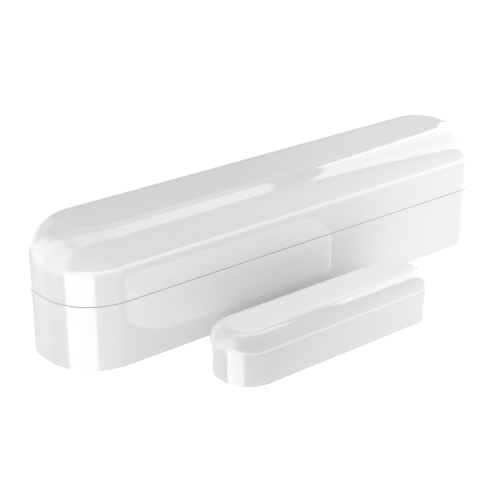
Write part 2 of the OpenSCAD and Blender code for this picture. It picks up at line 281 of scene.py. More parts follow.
def tube(points, r, seg=12, name="part"):
    """Round wire with domed ends along a line of points."""
    points = [Vector(p) for p in points]
    n = len(points)
    tangents = [(points[min(i + 1, n - 1)] - points[max(i - 1, 0)]).normalized() for i in range(n)]
    ref = Vector((0, 0, 1)) if abs(tangents[0].z) < 0.9 else Vector((1, 0, 0))
    side = ref.cross(tangents[0]).normalized()
    sides = []
    for t in tangents:
        side = (side - t * side.dot(t)).normalized()
        sides.append(side.copy())
    bm = bmesh.new()

    def ring(centre, t, u, share):
        w = t.cross(u)
        angles = [2 * math.pi * i / seg for i in range(seg)]
        return [bm.verts.new(centre + (u * math.cos(a) + w * math.sin(a)) * r * share)
                for a in angles]

    def dome(end, sign, shares):
        t = tangents[end]
        return [ring(points[end] + t * sign * r * math.sqrt(1 - k * k), t, sides[end], k)
                for k in shares]

    rings = dome(0, -1, (0.45, 0.8))
    rings += [ring(p, t, u, 1.0) for p, t, u in zip(points, tangents, sides)]
    rings += dome(-1, 1, (0.8, 0.45))
    for a, b in zip(rings, rings[1:]):
        skin(bm, a, b)
    bm.faces.new(rings[0])
    bm.faces.new(rings[-1])
    return from_bm(name, bm)


def bent(points, r, n=6):
    """Line through the points with its corners rounded over a length r."""
    points = [Vector(p) for p in points]
    line = [points[0]]
    for a, b, c in zip(points, points[1:], points[2:]):
        u, v = (a - b).normalized(), (c - b).normalized()
        k = min(r, (a - b).length * 0.49, (c - b).length * 0.49)
        for i in range(n + 1):
            t = i / n
            line.append((b + u * k) * (1 - t) ** 2 + b * 2 * t * (1 - t) + (b + v * k) * t * t)
    return line + [points[-1]]


def helix(r0, r1, height, turns, per, flat=0.0):
    """Coil about +Z with per points a turn; flat is the share at each end that rises slowly."""
    n = round(turns * per)
    points = []
    for i in range(n + 1):
        t = i / n
        rise = min(1.0, max(0.0, (t - flat) / (1 - 2 * flat)))
        a = 2 * math.pi * turns * t
        r = r0 + (r1 - r0) * t
        points.append(Vector((r * math.cos(a), r * math.sin(a), height * (rise * 0.85 + t * 0.15))))
    return points


def prism(outline, lo, hi, axis="z", bevel=0.0, name="part"):
    """Sheet from lo to hi along axis; the outline is in the other two axes, in x, y, z order."""
    bm = bmesh.new()

    def at(p):
        return {"z": (p[0], p[1], lo), "x": (lo, p[0], p[1]), "y": (p[0], lo, p[1])}[axis]

    face = bm.faces.new([bm.verts.new(at(p)) for p in outline])
    far = bmesh.ops.extrude_face_region(bm, geom=[face])
    i = "xyz".index(axis)
    for v in far["geom"]:
        if isinstance(v, bmesh.types.BMVert):
            v.co[i] = hi
    if bevel:
        edges = [e for e in bm.edges if abs(e.verts[0].co[i] - e.verts[1].co[i]) < 1e-6]
        bmesh.ops.bevel(bm, geom=edges, offset=bevel, segments=2, profile=0.5, affect="EDGES")
    return from_bm(name, bm)


def rrect(cx, cy, w, h, r, seg=6):
    """Outline of a rectangle with round corners."""
    points = []
    for k, (sx, sy) in enumerate(((1, 1), (-1, 1), (-1, -1), (1, -1))):
        for i in range(seg + 1):
            a = math.pi / 2 * (k + i / seg)
            points.append((cx + sx * (w / 2 - r) + r * math.cos(a),
                           cy + sy * (h / 2 - r) + r * math.sin(a)))
    return points


def remove(ob):
    mesh = ob.data
    bpy.data.objects.remove(ob)
    bpy.data.meshes.remove(mesh)


def boolean(ob, tools, operation):
    """Writes the exact boolean of ob with all tools into ob's own mesh and drops the tools."""
    for tool in tools:
        mod = ob.modifiers.new("b", "BOOLEAN")
        mod.operation, mod.solver, mod.object = operation, "EXACT", tool
    bpy.context.view_layer.update()
    depsgraph = bpy.context.evaluated_depsgraph_get()
    mesh = bpy.data.meshes.new_from_object(ob.evaluated_get(depsgraph))
    ob.modifiers.clear()
    old = ob.data
    ob.data = mesh
    mesh.name = ob.name
    bpy.data.meshes.remove(old)
    for tool in tools:
        remove(tool)
    return ob


def fuse(ob, *tools):
    return boolean(ob, tools, "UNION")


def cut(ob, *tools):
    for tool in tools:
        boolean(ob, [tool], "DIFFERENCE")
    return ob


def merge(name, obs):
    """One object out of several, keeping their materials."""
    bm = bmesh.new()
    mats = []
    for ob in obs:
        first = len(bm.faces)
        bm.from_mesh(ob.data)
        bm.faces.ensure_lookup_table()
        local = list(ob.data.materials)
        mats += [m for m in local if m not in mats]
        for f in bm.faces[first:]:
            f.material_index = mats.index(local[f.material_index])
    mesh = bpy.data.meshes.new(name)
    bm.to_mesh(mesh)
    bm.free()
    for m in mats:
        mesh.materials.append(m)
    for ob in obs:
        remove(ob)
    return add_object(name, mesh)


def paint(ob, mat):
    ob.data.materials.clear()
    ob.data.materials.append(mat)
    for p in ob.data.polygons:
        p.material_index = 0
    return ob


def smooth(ob, angle=32):
    """Smooth shading, with edges sharper than angle (degrees) kept hard."""
    mesh = ob.data
    for p in mesh.polygons:
        p.use_smooth = True
    bm = bmesh.new()
    bm.from_mesh(mesh)
    limit = math.radians(angle)
    for e in bm.edges:
        e.smooth = not (len(e.link_faces) == 2 and e.calc_face_angle(0.0) > limit)
    bm.to_mesh(mesh)
    bm.free()


def place(ob, node, body="sensor_base", angle=32):
    """Shades a finished piece, hangs it on the body it rides on and hides the CAD node it replaces.
    """
    smooth(ob, angle)
    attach(ob, body)
    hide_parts(node)


# ------------------------------------------------------------------ housing shells
def lid_outside(bottom, top, fillet, edge, steps):
    """Outside of a lid from its roof down to its rim; edge is the rim's rounding."""
    side = bottom + edge - top + fillet
    profile = [(fillet + 0.06, top)]
    profile += reversed(arc_pts(fillet, top - fillet, fillet, 0, 90, steps))
    profile += [(0, top - fillet + side * t) for t in (0.12, 0.5, 0.88)]
    return profile + arc_pts(edge, bottom + edge, edge, 0, -90, 5)


def lid_inside(top, fillet, wall, roof, steps):
    """Inner fillet of a lid from its wall up to the roof."""
    z = top - fillet - roof + wall
    return [(wall, z)] + arc_pts(fillet, z, fillet - wall, 0, 90, steps)


def lower_profile(foot=0.2, edge=0.07):
    """Outside of the lower shell upwards, over the upstanding lip and down to the inner floor."""
    z0, zl = BASE.z0, BASE.z1
    profile = [(0.35, z0)] + arc_pts(foot, z0 + foot, foot, -90, 0, 6)
    profile += [(0, z0 + foot + (WALL_TOP - edge - z0 - foot) * t) for t in (0.1, 0.5, 0.9)]
    profile += arc_pts(edge, WALL_TOP - edge, edge, 0, 90, 5)
    return profile + [
        (0.62, WALL_TOP), (0.65, WALL_TOP + 0.03), (0.65, zl - 0.12), (0.72, zl), (1.08, zl),
        (1.15, zl - 0.1), (1.15, 1.9), (1.3, FLOOR + 0.02), (1.5, FLOOR)]


LIP_ROOM = BASE.z1 + 0.2            # top of the recess in the cover that takes the lip
cover = ring_shell(
    UNIT_PLAN,
    lid_outside(COVER.z0, COVER.z1, UNIT_FILLET, edge=0.07, steps=30)
    + [(0.50, COVER.z0), (0.57, COVER.z0 + 0.06), (0.57, LIP_ROOM), (WALL, LIP_ROOM)]
    + lid_inside(COVER.z1, UNIT_FILLET, WALL, ROOF, steps=16), name="cover_shell")
lower = ring_shell(UNIT_PLAN, lower_profile(), name="lower_shell")
cap = ring_shell(
    CAP_PLAN,
    lid_outside(CAP.z0, CAP.z1, CAP_FILLET, edge=0.15, steps=24)
    + [(CAP_WALL, CAP.z0), (CAP_WALL, CAP.z0 + 0.02)]
    + lid_inside(CAP.z1, CAP_FILLET, CAP_WALL, CAP_WALL, steps=10), arc=32, name="magnet_shell")


# ------------------------------------------------------------------ shader graph helper
class Graph:
    """Writes a node tree; every call returns an output socket. Coordinates are millimetres."""
    SOCKETS = {"color": "Base Color", "rough": "Roughness", "metal": "Metallic", "ior": "IOR",
               "normal": "Normal", "clear": "Transmission Weight", "coat": "Coat Weight",
               "coat_rough": "Coat Roughness", "sss": "Subsurface Weight"}

    def __init__(self, tree):
        self.tree = tree
        tree.nodes.clear()

    def node(self, kind, **props):
        n = self.tree.nodes.new(kind)
        for key, value in props.items():
            setattr(n, key, value)
        return n

    def put(self, n, i, value):
        """Links or sets input i of a node."""
        sock = n.inputs[i]
        if isinstance(value, bpy.types.NodeSocket):
            self.tree.links.new(value, sock)
        else:
            if sock.type == "RGBA" and len(value) == 3:
                value = (*value, 1.0)
            sock.default_value = value

    def fill(self, n, *values):
        for i, value in enumerate(values):
            self.put(n, i, value)
        return n

    def math(self, op, *values):
        return self.fill(self.node("ShaderNodeMath", operation=op), *values).outputs[0]

    def add(self, a, b):
        return self.math("ADD", a, b)

    def sub(self, a, b):
        return self.math("SUBTRACT", a, b)

    def mul(self, a, b):
        return self.math("MULTIPLY", a, b)

    def ramp(self, value, start, end, lo=0.0, hi=1.0):
        """Smooth step from lo at start to hi at end."""
        n = self.node("ShaderNodeMapRange", interpolation_type="SMOOTHSTEP")
        return self.fill(n, value, start, end, lo, hi).outputs[0]

    def coords(self, **props):
        n = self.node("ShaderNodeTexCoord", **props)
        v = self.node("ShaderNodeVectorMath", operation="SCALE")
        self.put(v, 0, n.outputs["Object"])
        self.put(v, 3, 1 / MM)
        return v.outputs[0]

    def stretch(self, vec, factors):
        v = self.node("ShaderNodeVectorMath", operation="MULTIPLY")
        return self.fill(v, vec, factors).outputs[0]

    def xyz(self, vec):
        return self.fill(self.node("ShaderNodeSeparateXYZ"), vec).outputs[:3]

    def noise(self, vec, scale, detail=2.0, rough=0.5):
        n = self.node("ShaderNodeTexNoise")
        for key, value in (("Vector", vec), ("Scale", scale), ("Detail", detail),
                           ("Roughness", rough), ("Distortion", 0.0)):
            self.put(n, key, value)
        return n.outputs[0]

    def cells(self, vec, scale):
        n = self.node("ShaderNodeTexVoronoi", feature="F1")
        self.put(n, "Vector", vec)
        self.put(n, "Scale", scale)
        return n.outputs["Distance"]

    def mix(self, share, a, b):
        n = self.node("ShaderNodeMix", data_type="RGBA")
        for i, value in ((0, share), (6, a), (7, b)):
            self.put(n, i, value)
        return n.outputs[2]

    def clouds(self, pattern, start, end, a, b):
        """Colour a where the pattern is below start, b above end."""
        return self.mix(self.ramp(pattern, start, end), a, b)

    def bump(self, height, depth, strength=1.0):
        n = self.node("ShaderNodeBump")
        for key, value in (("Strength", strength), ("Distance", depth * MM), ("Height", height)):
            self.put(n, key, value)
        return n.outputs[0]

    def surface(self, **inputs):
        n = self.node("ShaderNodeBsdfPrincipled")
        for key, value in inputs.items():
            self.put(n, self.SOCKETS[key], value)
        self.out(n.outputs[0])

    def out(self, sock, kind="ShaderNodeOutputMaterial"):
        self.tree.links.new(sock, self.node(kind).inputs["Surface"])


def material(name):
    m = bpy.data.materials.new(name)
    m.use_nodes = True
    return m, Graph(m.node_tree)


# ------------------------------------------------------------------ studio
SKY = 0.97                          # light on diffuse surfaces from all round
GROUND = 1.2                        # brightness of the floor to anything but the camera
FLOOR_TONE = 0.72
SEEN_EXTRA = 0.6                    # extra glow of the floor as the camera sees it


def studio_world():
    """Even white light for diffuse surfaces; glossy surfaces see the walls of a white studio."""
    world = bpy.data.worlds.new("studio")
    bpy.context.scene.world = world
    world.use_nodes = True
    world.cycles.sampling_method = "NONE"
    g = Graph(world.node_tree)
    x, y, z = g.xyz(g.node("ShaderNodeTexCoord").outputs["Generated"])
    total = g.add(0.15, 0.0)        # reflected light where no wall is bright

    def sine(elevation):
        return math.sin(math.radians(elevation))

    # the limits are in degrees; compass directions run from +Y towards +X
    def facing(azimuth, half, soft):
        a = math.radians(azimuth)
        r = g.math("SQRT", g.add(g.mul(x, x), g.add(g.mul(y, y), 1e-6)))
        along = g.add(g.mul(x, math.sin(a)), g.mul(y, math.cos(a)))
        outer, inner = math.cos(math.radians(half + soft)), math.cos(math.radians(half))
        return g.ramp(g.math("DIVIDE", along, r), outer, inner)

    def below(elevation, soft):
        return g.ramp(z, sine(elevation - soft), sine(elevation + soft), 1.0, 0.0)

    def above(elevation, soft):
        return g.ramp(z, sine(elevation - soft), sine(elevation + soft))

    def glow(strength, share, *limits):
        nonlocal total
        for limit in limits:
            share = g.mul(share, limit)
        total = g.add(total, g.mul(share, strength))

    # pale flat at the front on the left
    glow(0.45, facing(200, 25, 25), below(20, 22))
    # bright line where the sweep meets the front wall, then its stronger left part
    glow(1.25, facing(180, 62, 20), below(2.6, 0.8), above(-6.0, 2.5))
    glow(0.45, facing(190, 42, 9), below(2.6, 0.8), above(-9.0, 2.5))
    # pale wall behind on the left, then its far end
    glow(1.45, facing(-62, 28, 14), below(56, 12), above(-18, 14))
    glow(0.50, facing(-16, 26, 12), below(50, 12), above(-10, 8))
    # foot of the back wall, then the bright sweep low behind
    glow(0.80, facing(45, 60, 20), below(9, 3), above(-5, 3))
    glow(1.75, facing(30, 32, 15), below(-3, 4))
    # the back wall brightens to the right
    glow(0.50, facing(66, 20, 9), above(8, 6), below(28, 4))
    rays = g.node("ShaderNodeLightPath")
    power = g.add(g.mul(rays.outputs["Is Glossy Ray"], g.sub(total, SKY)), SKY)
    power = g.add(g.mul(rays.outputs["Is Camera Ray"], g.sub(1.0, power)), power)
    background = g.node("ShaderNodeBackground")
    g.put(background, 1, power)
    g.out(background.outputs[0], "ShaderNodeOutputWorld")


def floor(magnet):
    """Floor that glows; the strip between the two units is painted darker to every ray but the
    camera's, as painted shade for the faces between them.
    """
    s, z = 1500.0, -0.03
    ob = new_object("floor", [(-s, -s, z), (s, -s, z), (s, s, z), (-s, s, z)], [(0, 1, 2, 3)])
    m, g = material("studio_floor")
    seen = g.node("ShaderNodeLightPath").outputs["Is Camera Ray"]
    x, y, _ = g.xyz(g.coords())
    strip_x, strip_y = -2.5, -11.1  # centre of the strip

    def away(value, centre):
        return g.math("ABSOLUTE", g.sub(value, centre) if False else g.add(value, -centre))

    # painted shade: the floor between the two units gives back less light
    painted_gap_shade = g.mul(g.ramp(away(x, strip_x), 9.5, 15.0, 0.8, 0.0),
                g.ramp(away(y, strip_y), 1.4, 2.9, 1.0, 0.0))
    # the painted shade in the strip fades when the magnet unit is moved away
    magnet_y = g.xyz(g.coords(name="magnet_place", object=magnet))[1]
    painted_gap_shade = g.mul(painted_gap_shade, g.ramp(away(magnet_y, strip_y), 3.0, 9.0, 1.0, 0.0))
    keep = g.sub(1.0, g.mul(painted_gap_shade, g.sub(1.0, seen)))
    grey = g.node("ShaderNodeCombineColor")
    for i in range(3):
        g.put(grey, i, g.mul(keep, FLOOR_TONE))
    diffuse = g.fill(g.node("ShaderNodeBsdfDiffuse"), grey.outputs[0])
    emission = g.node("ShaderNodeEmission")
    g.put(emission, 1, g.mul(keep, g.add(g.mul(seen, SEEN_EXTRA), GROUND - SKY * FLOOR_TONE)))
    lit = g.fill(g.node("ShaderNodeAddShader"), diffuse.outputs[0], emission.outputs[0])
    # a camera under the floor looks through it
    clear = g.node("ShaderNodeBsdfTransparent")
    through = g.mul(seen, g.node("ShaderNodeNewGeometry").outputs["Backfacing"])
    mixer = g.node("ShaderNodeMixShader")
    g.fill(mixer, through, lit.outputs[0], clear.outputs[0])
    g.out(mixer.outputs[0])
    ob.data.materials.append(m)
    ob.visible_glossy = False
    ob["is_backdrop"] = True


def soft_light(name, at, to, size, power):
    """Area light for diffuse surfaces only; power in watts."""
    light = bpy.data.lights.new(name, "AREA")
    ob = add_object(name, light)
    light.shape = "RECTANGLE"
    light.size, light.size_y = size[0] * MM, size[1] * MM
    light.energy = power
    ob.location = Vector(at) * MM
    ob.rotation_euler = ((Vector(to) - Vector(at)) * MM).to_track_quat("-Z", "Y").to_euler()
    ob.visible_glossy = False
    ob.visible_camera = False


def card(name, corners, strength, edges, ramp=(1.0, 1.0, 1.0, 1.0)):
    """Glowing panel that only reflections see. Corners: left-low, right-low, right-high, left-high;
    edges are its soft rims and ramp its brightness at left, right, low and high."""
    n = 12
    ll, rl, rh, lh = [Vector(c) for c in corners]
    uvs = [(i / n, j / n) for j in range(n + 1) for i in range(n + 1)]
    verts = [tuple((ll * (1 - u) + rl * u) * (1 - v) + (lh * (1 - u) + rh * u) * v)
             for u, v in uvs]
    starts = [j * (n + 1) + i for j in range(n) for i in range(n)]
    ob = new_object(name, verts, [(k, k + 1, k + n + 2, k + n + 1) for k in starts])
    layer = ob.data.uv_layers.new(name="UVMap")
    for loop in ob.data.loops:
        layer.data[loop.index].uv = uvs[loop.vertex_index]
    m, g = material(name)
    m.cycles.emission_sampling = "NONE"
    x, y, _ = g.xyz(g.node("ShaderNodeUVMap", uv_map="UVMap").outputs[0])
    left, right, low, high = edges
    shown = g.ramp(x, 0.0, left)
    shown = g.mul(shown, g.ramp(x, 1 - right, 1.0, 1.0, 0.0))
    shown = g.mul(shown, g.ramp(y, 0.0, low))
    shown = g.mul(shown, g.ramp(y, 1 - high, 1.0, 1.0, 0.0))
    across, upward = g.ramp(x, 0, 1, *ramp[:2]), g.ramp(y, 0, 1, *ramp[2:])
    emission = g.node("ShaderNodeEmission")
    g.put(emission, 1, g.mul(g.mul(across, upward), strength))
    clear = g.node("ShaderNodeBsdfTransparent")
    mixer = g.node("ShaderNodeMixShader")
    g.fill(mixer, shown, clear.outputs[0], emission.outputs[0])
    g.out(mixer.outputs[0])
    ob.data.materials.append(m)
    for ray in ("camera", "diffuse", "shadow", "transmission", "volume_scatter"):
        setattr(ob, "visible_" + ray, False)
    ob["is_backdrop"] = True


def flag(name, x0, x1, y, height):
    """Upright dark cloth, unseen itself, that deepens the tone of the faces towards it."""
    ob = new_object(name, [(x0, y, 0), (x1, y, 0), (x1, y, height), (x0, y, height)],
                    [(0, 1, 2, 3)])
    m, g = material(name)
    g.out(g.fill(g.node("ShaderNodeBsdfDiffuse"), (0.03, 0.03, 0.03)).outputs[0])
    ob.data.materials.append(m)
    ob.visible_camera = ob.visible_glossy = False
    ob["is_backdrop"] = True


def studio():
    studio_world()
    floor(cap)
    soft_light("fill_right", at=(78, -62, 25), to=(0, -15, 5), size=(50, 50), power=0.0145)
    soft_light("fill_left", at=(-64, -29, 8), to=(-30, -12, 5), size=(38, 40), power=0.0026)
    soft_light("fill_front", at=(-20, -80, 46), to=(-8, -8, 10), size=(100, 30), power=0.0109)
    soft_light("fill_left_top", at=(-92, -20, 60), to=(-34, -2, 14), size=(40, 40), power=0.0010)
    # its near edge hangs over the object's right half and it slopes down past the floor
    card("card_right", [(234, -98, -130), (234, 28, -130), (35.5, 21.0, 50), (26.0, -12.0, 50)],
         strength=1.92, edges=(0.012, 0.012, 0.01, 0.008), ramp=(1.0, 1.0, 1.25, 0.92))
    card("card_over_rim", [(-56, 17, 50.5), (22, 17, 50.5), (39, 58, 50.5), (-56, 58, 50.5)],
         strength=0.5, edges=(0.1, 0.04, 0.04, 0.25), ramp=(1.0, 1.0, 1.0, 0.4))
    card("card_over", [(-52, -9.5, 50), (19.5, -9.5, 50), (24.5, 18, 50), (-52, 18, 50)],
         strength=1.5, edges=(0.08, 0.03, 0.05, 0.22), ramp=(0.62, 1.0, 1.0, 1.0))
    card("card_left", [(-59, -58, -40), (-59, -3, -40), (-59, -3, 17), (-59, -58, 17)],
         strength=2.4, edges=(0.30, 0.08, 0.02, 0.15))
    flag("flag_left", x0=-62, x1=-12, y=-58, height=28)
    flag("flag_low", x0=-48, x1=-14, y=-40, height=9)


# ------------------------------------------------------------------ materials
def shade(color, k):
    return tuple(min(1.0, c * k) for c in color)


def housing_white(tone=0.832, gloss=0.018, peel=0.0009):
    """Glossy outside of the housings, its colour painted lighter at grazing angles; peel is the depth
    of its faint waves.
    """
    m, g = material("housing_white")
    v = g.coords()
    cloud = g.noise(v, scale=0.06, detail=3.0)
    fine = g.noise(v, scale=1.1, detail=4.0, rough=0.6)
    color = g.clouds(cloud, 0.3, 0.7, (tone - 0.008, tone - 0.008, tone - 0.006),
                     (tone + 0.006, tone + 0.006, tone + 0.005))
    # painted sheen: the white is painted lighter where the surface is seen at a low angle, standing
    # in for light lost there
    painted_grazing_sheen = g.fill(g.node("ShaderNodeLayerWeight"), 0.5)
    color = g.clouds(painted_grazing_sheen.outputs["Facing"], 0.36, 0.62, color, (tone * 1.14,) * 3)
    rough = g.add(gloss, g.mul(g.ramp(fine, 0.35, 0.75), 0.02))
    waves = g.add(g.noise(v, scale=0.19), g.mul(g.noise(v, scale=0.9), 0.10))
    g.surface(color=color, rough=rough, ior=1.85, normal=g.bump(waves, peel))
    return m


def plastic(name, color, rough, grain, depth, var, sss=0.0):
    """Moulded plastic: cloudy colour, surface grain of the given depth, rubbed gloss."""
    m, g = material(name)
    v = g.coords()
    cloud = g.noise(v, scale=0.35, detail=3.0)
    grit = g.noise(v, scale=grain, detail=3.0, rough=0.6)
    base = g.clouds(cloud, 0.3, 0.7, shade(color, 1 - var), shade(color, 1 + var))
    specks = g.ramp(g.noise(v, scale=grain * 2.2, detail=1.0), 0.62, 0.72)
    base = g.mix(g.mul(specks, 0.25), base, shade(color, 1 + 2 * var))
    rub = g.noise(g.stretch(v, (0.5, 6.0, 6.0)), scale=0.9, detail=3.0)
    uneven = g.add(g.mul(g.ramp(grit, 0.3, 0.7), 0.10), g.mul(g.ramp(rub, 0.55, 0.7), -0.05))
    g.surface(color=base, rough=g.add(rough, uneven), ior=1.5, sss=sss, normal=g.bump(grit, depth))
    return m


def metal(name, color, rough, brush=(1, 1, 1), depth=0.0012, stain=0.10,
          tarnish=(0.55, 0.5, 0.42)):
    """Sheet or turned metal: lines drawn out by brush, small dents, patches of tarnish."""
    m, g = material(name)
    v = g.coords()
    lines = g.noise(g.stretch(v, brush), scale=3.2, detail=4.0, rough=0.65)
    dents = g.noise(v, scale=0.5)
    spots = g.ramp(g.noise(v, scale=0.7, detail=4.0, rough=0.65), 0.56, 0.74)
    base = g.clouds(lines, 0.3, 0.7, shade(color, 0.95), shade(color, 1.03))
    base = g.mix(g.mul(spots, stain), base, tarnish)
    uneven = g.add(g.mul(g.ramp(lines, 0.35, 0.65), 0.09), g.mul(spots, 0.10))
    g.surface(color=base, rough=g.add(rough, uneven), metal=1.0,
              normal=g.bump(g.add(g.mul(lines, 0.3), dents), depth))
    return m


def housing_inner():
    """Inside of the housings: the same white with a fine matt texture."""
    m, g = material("housing_inner")
    v = g.coords()
    grit = g.noise(v, scale=7.0, detail=3.0, rough=0.7)
    flow = g.noise(g.stretch(v, (0.25, 1.0, 1.0)), scale=0.5, detail=3.0)
    color = g.clouds(flow, 0.3, 0.7, (0.78, 0.78, 0.775), (0.82, 0.82, 0.815))
    g.surface(color=color, rough=g.add(0.34, g.mul(g.ramp(grit, 0.35, 0.65), 0.14)), ior=1.5,
              normal=g.bump(grit, 0.006))
    return m


def foam(name, color):
    """Acrylic foam tape: open pores at the sides, their pits painted darker as shade, a thin film on
    both faces.
    """
    m, g = material(name)
    v = g.coords()
    nz = g.xyz(g.node("ShaderNodeNewGeometry").outputs["Normal"])[2]
    flat = g.ramp(g.math("ABSOLUTE", nz), 0.6, 0.9)
    pores = g.cells(v, scale=3.4)
    small = g.noise(v, scale=9.0, detail=3.0, rough=0.6)
    # painted shade: the pits of the pores are darker than their rims
    side = g.clouds(pores, 0.05, 0.35, shade(color, 0.55), shade(color, 1.15))
    fibres = g.noise(g.stretch(v, (3.0, 0.4, 1.0)), scale=0.9, detail=4.0, rough=0.7)
    lint = g.mul(g.ramp(fibres, 0.58, 0.66), 0.25)
    film = g.mix(lint, shade(color, 1.25), shade(color, 1.6))
    height = g.add(g.mul(pores, 1.0), g.mul(small, 0.4))
    g.surface(color=g.mix(flat, side, film), rough=g.add(0.62, g.mul(flat, -0.22)), ior=1.45,
              normal=g.bump(height, 0.05, strength=0.6))
    return m


def solder_mask(name, color, weave_height):
    """Green lacquer over laminate: the weave shows faintly under it."""
    m, g = material(name)
    v = g.coords()
    x, y, _ = g.xyz(v)
    weave = g.mul(g.math("SINE", g.mul(x, 15.0)), g.math("SINE", g.mul(y, 15.0)))
    cloud = g.noise(v, scale=0.25, detail=3.0)
    peel = g.noise(v, scale=1.3)
    base = g.clouds(weave, -0.9, 0.9, shade(color, 0.90), shade(color, 1.10))
    base = g.mix(g.mul(g.ramp(cloud, 0.4, 0.7), 0.5), base, shade(color, 0.86))
    dust = g.ramp(g.noise(v, scale=5.0), 0.70, 0.76)
    base = g.mix(g.mul(dust, 0.10), base, (0.5, 0.55, 0.5))
    height = g.add(g.mul(peel, 0.8), g.mul(weave, weave_height))
    g.surface(color=base, rough=g.add(0.20, g.mul(peel, 0.10)), ior=1.52, coat=0.3,
              coat_rough=0.15, normal=g.bump(height, 0.006))
    return m


def laminate():
    """Edge of the board: glass cloth layers in yellow resin."""
    m, g = material("board_core")
    v = g.coords()
    layers = g.math("SINE", g.mul(g.xyz(v)[2], 44.0))
    fibres = g.noise(g.stretch(v, (3.0, 3.0, 1.0)), scale=4.0, detail=3.0, rough=0.7)
    color = g.clouds(layers, -0.4, 0.4, (0.42, 0.40, 0.20), (0.56, 0.53, 0.30))
    color = g.mix(g.mul(g.ramp(fibres, 0.5, 0.7), 0.5), color, (0.66, 0.64, 0.46))
    g.surface(color=color, rough=0.7, ior=1.5, normal=g.bump(fibres, 0.02))
    return m


def glass():
    m, g = material("reed_glass_tube")
    waves = g.noise(g.stretch(g.coords(), (0.3, 1.0, 1.0)), scale=0.8)
    color = g.mix(waves, (0.80, 0.93, 0.86), (0.86, 0.96, 0.91))
    g.surface(color=color, rough=0.015, ior=1.5, clear=1.0, normal=g.bump(waves, 0.004))
    return m


def lamp_resin():
    m, g = material("lamp_resin")
    haze = g.noise(g.coords(), scale=2.0, detail=3.0)
    color = g.mix(haze, (0.93, 0.90, 0.66), (0.98, 0.96, 0.80))
    g.surface(color=color, rough=g.add(0.10, g.mul(haze, 0.1)), ior=1.5, clear=0.55, sss=0.2,
              normal=g.bump(haze, 0.004))
    return m


def wrap(name, color, rough=0.24):
    """Shrink sleeve: stretched film with fine draw lines along the cell."""
    m, g = material(name)
    v = g.coords()
    draw = g.noise(g.stretch(v, (0.15, 2.0, 2.0)), scale=2.4, detail=3.0, rough=0.6)
    pucker = g.noise(v, scale=0.22, detail=3.0)
    base = g.clouds(draw, 0.2, 0.8, shade(color, 0.96), shade(color, 1.05))
    height = g.add(g.mul(draw, 0.4), g.mul(pucker, 3.0))
    g.surface(color=base, rough=g.add(rough, g.mul(draw, 0.08)), ior=1.54,
              normal=g.bump(height, 0.006))
    return m


def gilt_wire(name, color):
    """Gold-plated wire with a warm, slightly uneven plating."""
    m, g = material(name)
    v = g.coords()
    uneven = g.noise(v, scale=1.6, detail=3.0)
    base = g.clouds(uneven, 0.3, 0.7, shade(color, 0.88), shade(color, 1.12))
    g.surface(color=base, rough=g.add(0.20, g.mul(uneven, 0.10)), metal=1.0, coat=0.6,
              coat_rough=0.1, normal=g.bump(g.noise(v, scale=4.0), 0.003))
    return m


studio()
WHITE = housing_white()
bpy.context.scene.view_settings.view_transform = "Standard"

INNER = housing_inner()
MASK = solder_mask("board_mask", (0.018, 0.135, 0.050), weave_height=0.12)
TRACE = solder_mask("board_trace", (0.040, 0.235, 0.085), weave_height=0.03)
CORE = laminate()
TIN = metal("tinned_pads", (0.80, 0.80, 0.78), rough=0.30, depth=0.006, stain=0.12)
GOLD = metal("plated_pads", (0.86, 0.66, 0.30), rough=0.26, depth=0.002, stain=0.06,
             tarnish=(0.6, 0.42, 0.2))
ZINC = metal("zinc_steel", (0.72, 0.73, 0.75), rough=0.26, brush=(1, 1, 4), depth=0.002,
             stain=0.14)
SPRING = metal("spring_steel", (0.66, 0.66, 0.65), rough=0.20, depth=0.001, stain=0.12)
NICKEL = metal("nickel_sheet", (0.76, 0.75, 0.71), rough=0.18, brush=(1, 8, 1), stain=0.08)
CELL_STEEL = metal("cell_steel", (0.72, 0.72, 0.71), rough=0.22, brush=(1, 5, 5))
PLATED = metal("magnet_nickel", (0.74, 0.735, 0.72), rough=0.14, tarnish=(0.50, 0.49, 0.46))
ALU = metal("capacitor_can", (0.80, 0.81, 0.82), rough=0.30, brush=(6, 6, 1), stain=0.05)
BRASS = metal("clamp_brass_plate", (0.82, 0.70, 0.42), rough=0.26, brush=(1, 6, 1), depth=0.0015,
              stain=0.16, tarnish=(0.62, 0.48, 0.25))
SHIELD_TIN = metal("shield_tin", (0.74, 0.75, 0.76), rough=0.30, brush=(8, 1, 1), depth=0.002)
ALLOY = metal("reed_alloy", (0.68, 0.67, 0.63), rough=0.24, brush=(5, 1, 1), depth=0.001,
              stain=0.12)
GILT = gilt_wire("aerial_wire", (0.86, 0.62, 0.28))
# name, colour, roughness, grain scale, grain depth, colour variation
SILK, BLACK, EPOXY, CERAMIC, ALUMINA, GREY, IVORY, CARD_WHITE = [plastic(*row) for row in (
    ("board_legend", (0.78, 0.78, 0.74), 0.5, 9.0, 0.004, 0.04),
    ("moulding_black", (0.022, 0.022, 0.024), 0.42, 8.0, 0.004, 0.15),
    ("chip_epoxy", (0.030, 0.030, 0.032), 0.50, 10.0, 0.005, 0.12),
    ("capacitor_ceramic", (0.46, 0.33, 0.22), 0.42, 9.0, 0.004, 0.10),
    ("alumina", (0.72, 0.72, 0.69), 0.45, 9.0, 0.004, 0.05),
    ("plunger_acetal", (0.26, 0.262, 0.27), 0.38, 6.0, 0.003, 0.10),
    ("button_acetal", (0.74, 0.73, 0.68), 0.36, 6.0, 0.003, 0.05),
    ("insulating_card", (0.76, 0.75, 0.70), 0.72, 3.0, 0.012, 0.06))]
GREEN = plastic("terminal_nylon", (0.030, 0.300, 0.125), rough=0.34, grain=4.0, depth=0.003,
                var=0.10, sss=0.05)
FOAM = foam("foam_tape", (0.165, 0.168, 0.175))
GLASS = glass()
LAMP = lamp_resin()
WRAP = wrap("cell_wrap_green", (0.085, 0.205, 0.110))
WRAP_BAND = wrap("cell_wrap_band", (0.30, 0.32, 0.31))
WRAP_WHITE = wrap("cell_wrap_print", (0.80, 0.80, 0.76), rough=0.3)


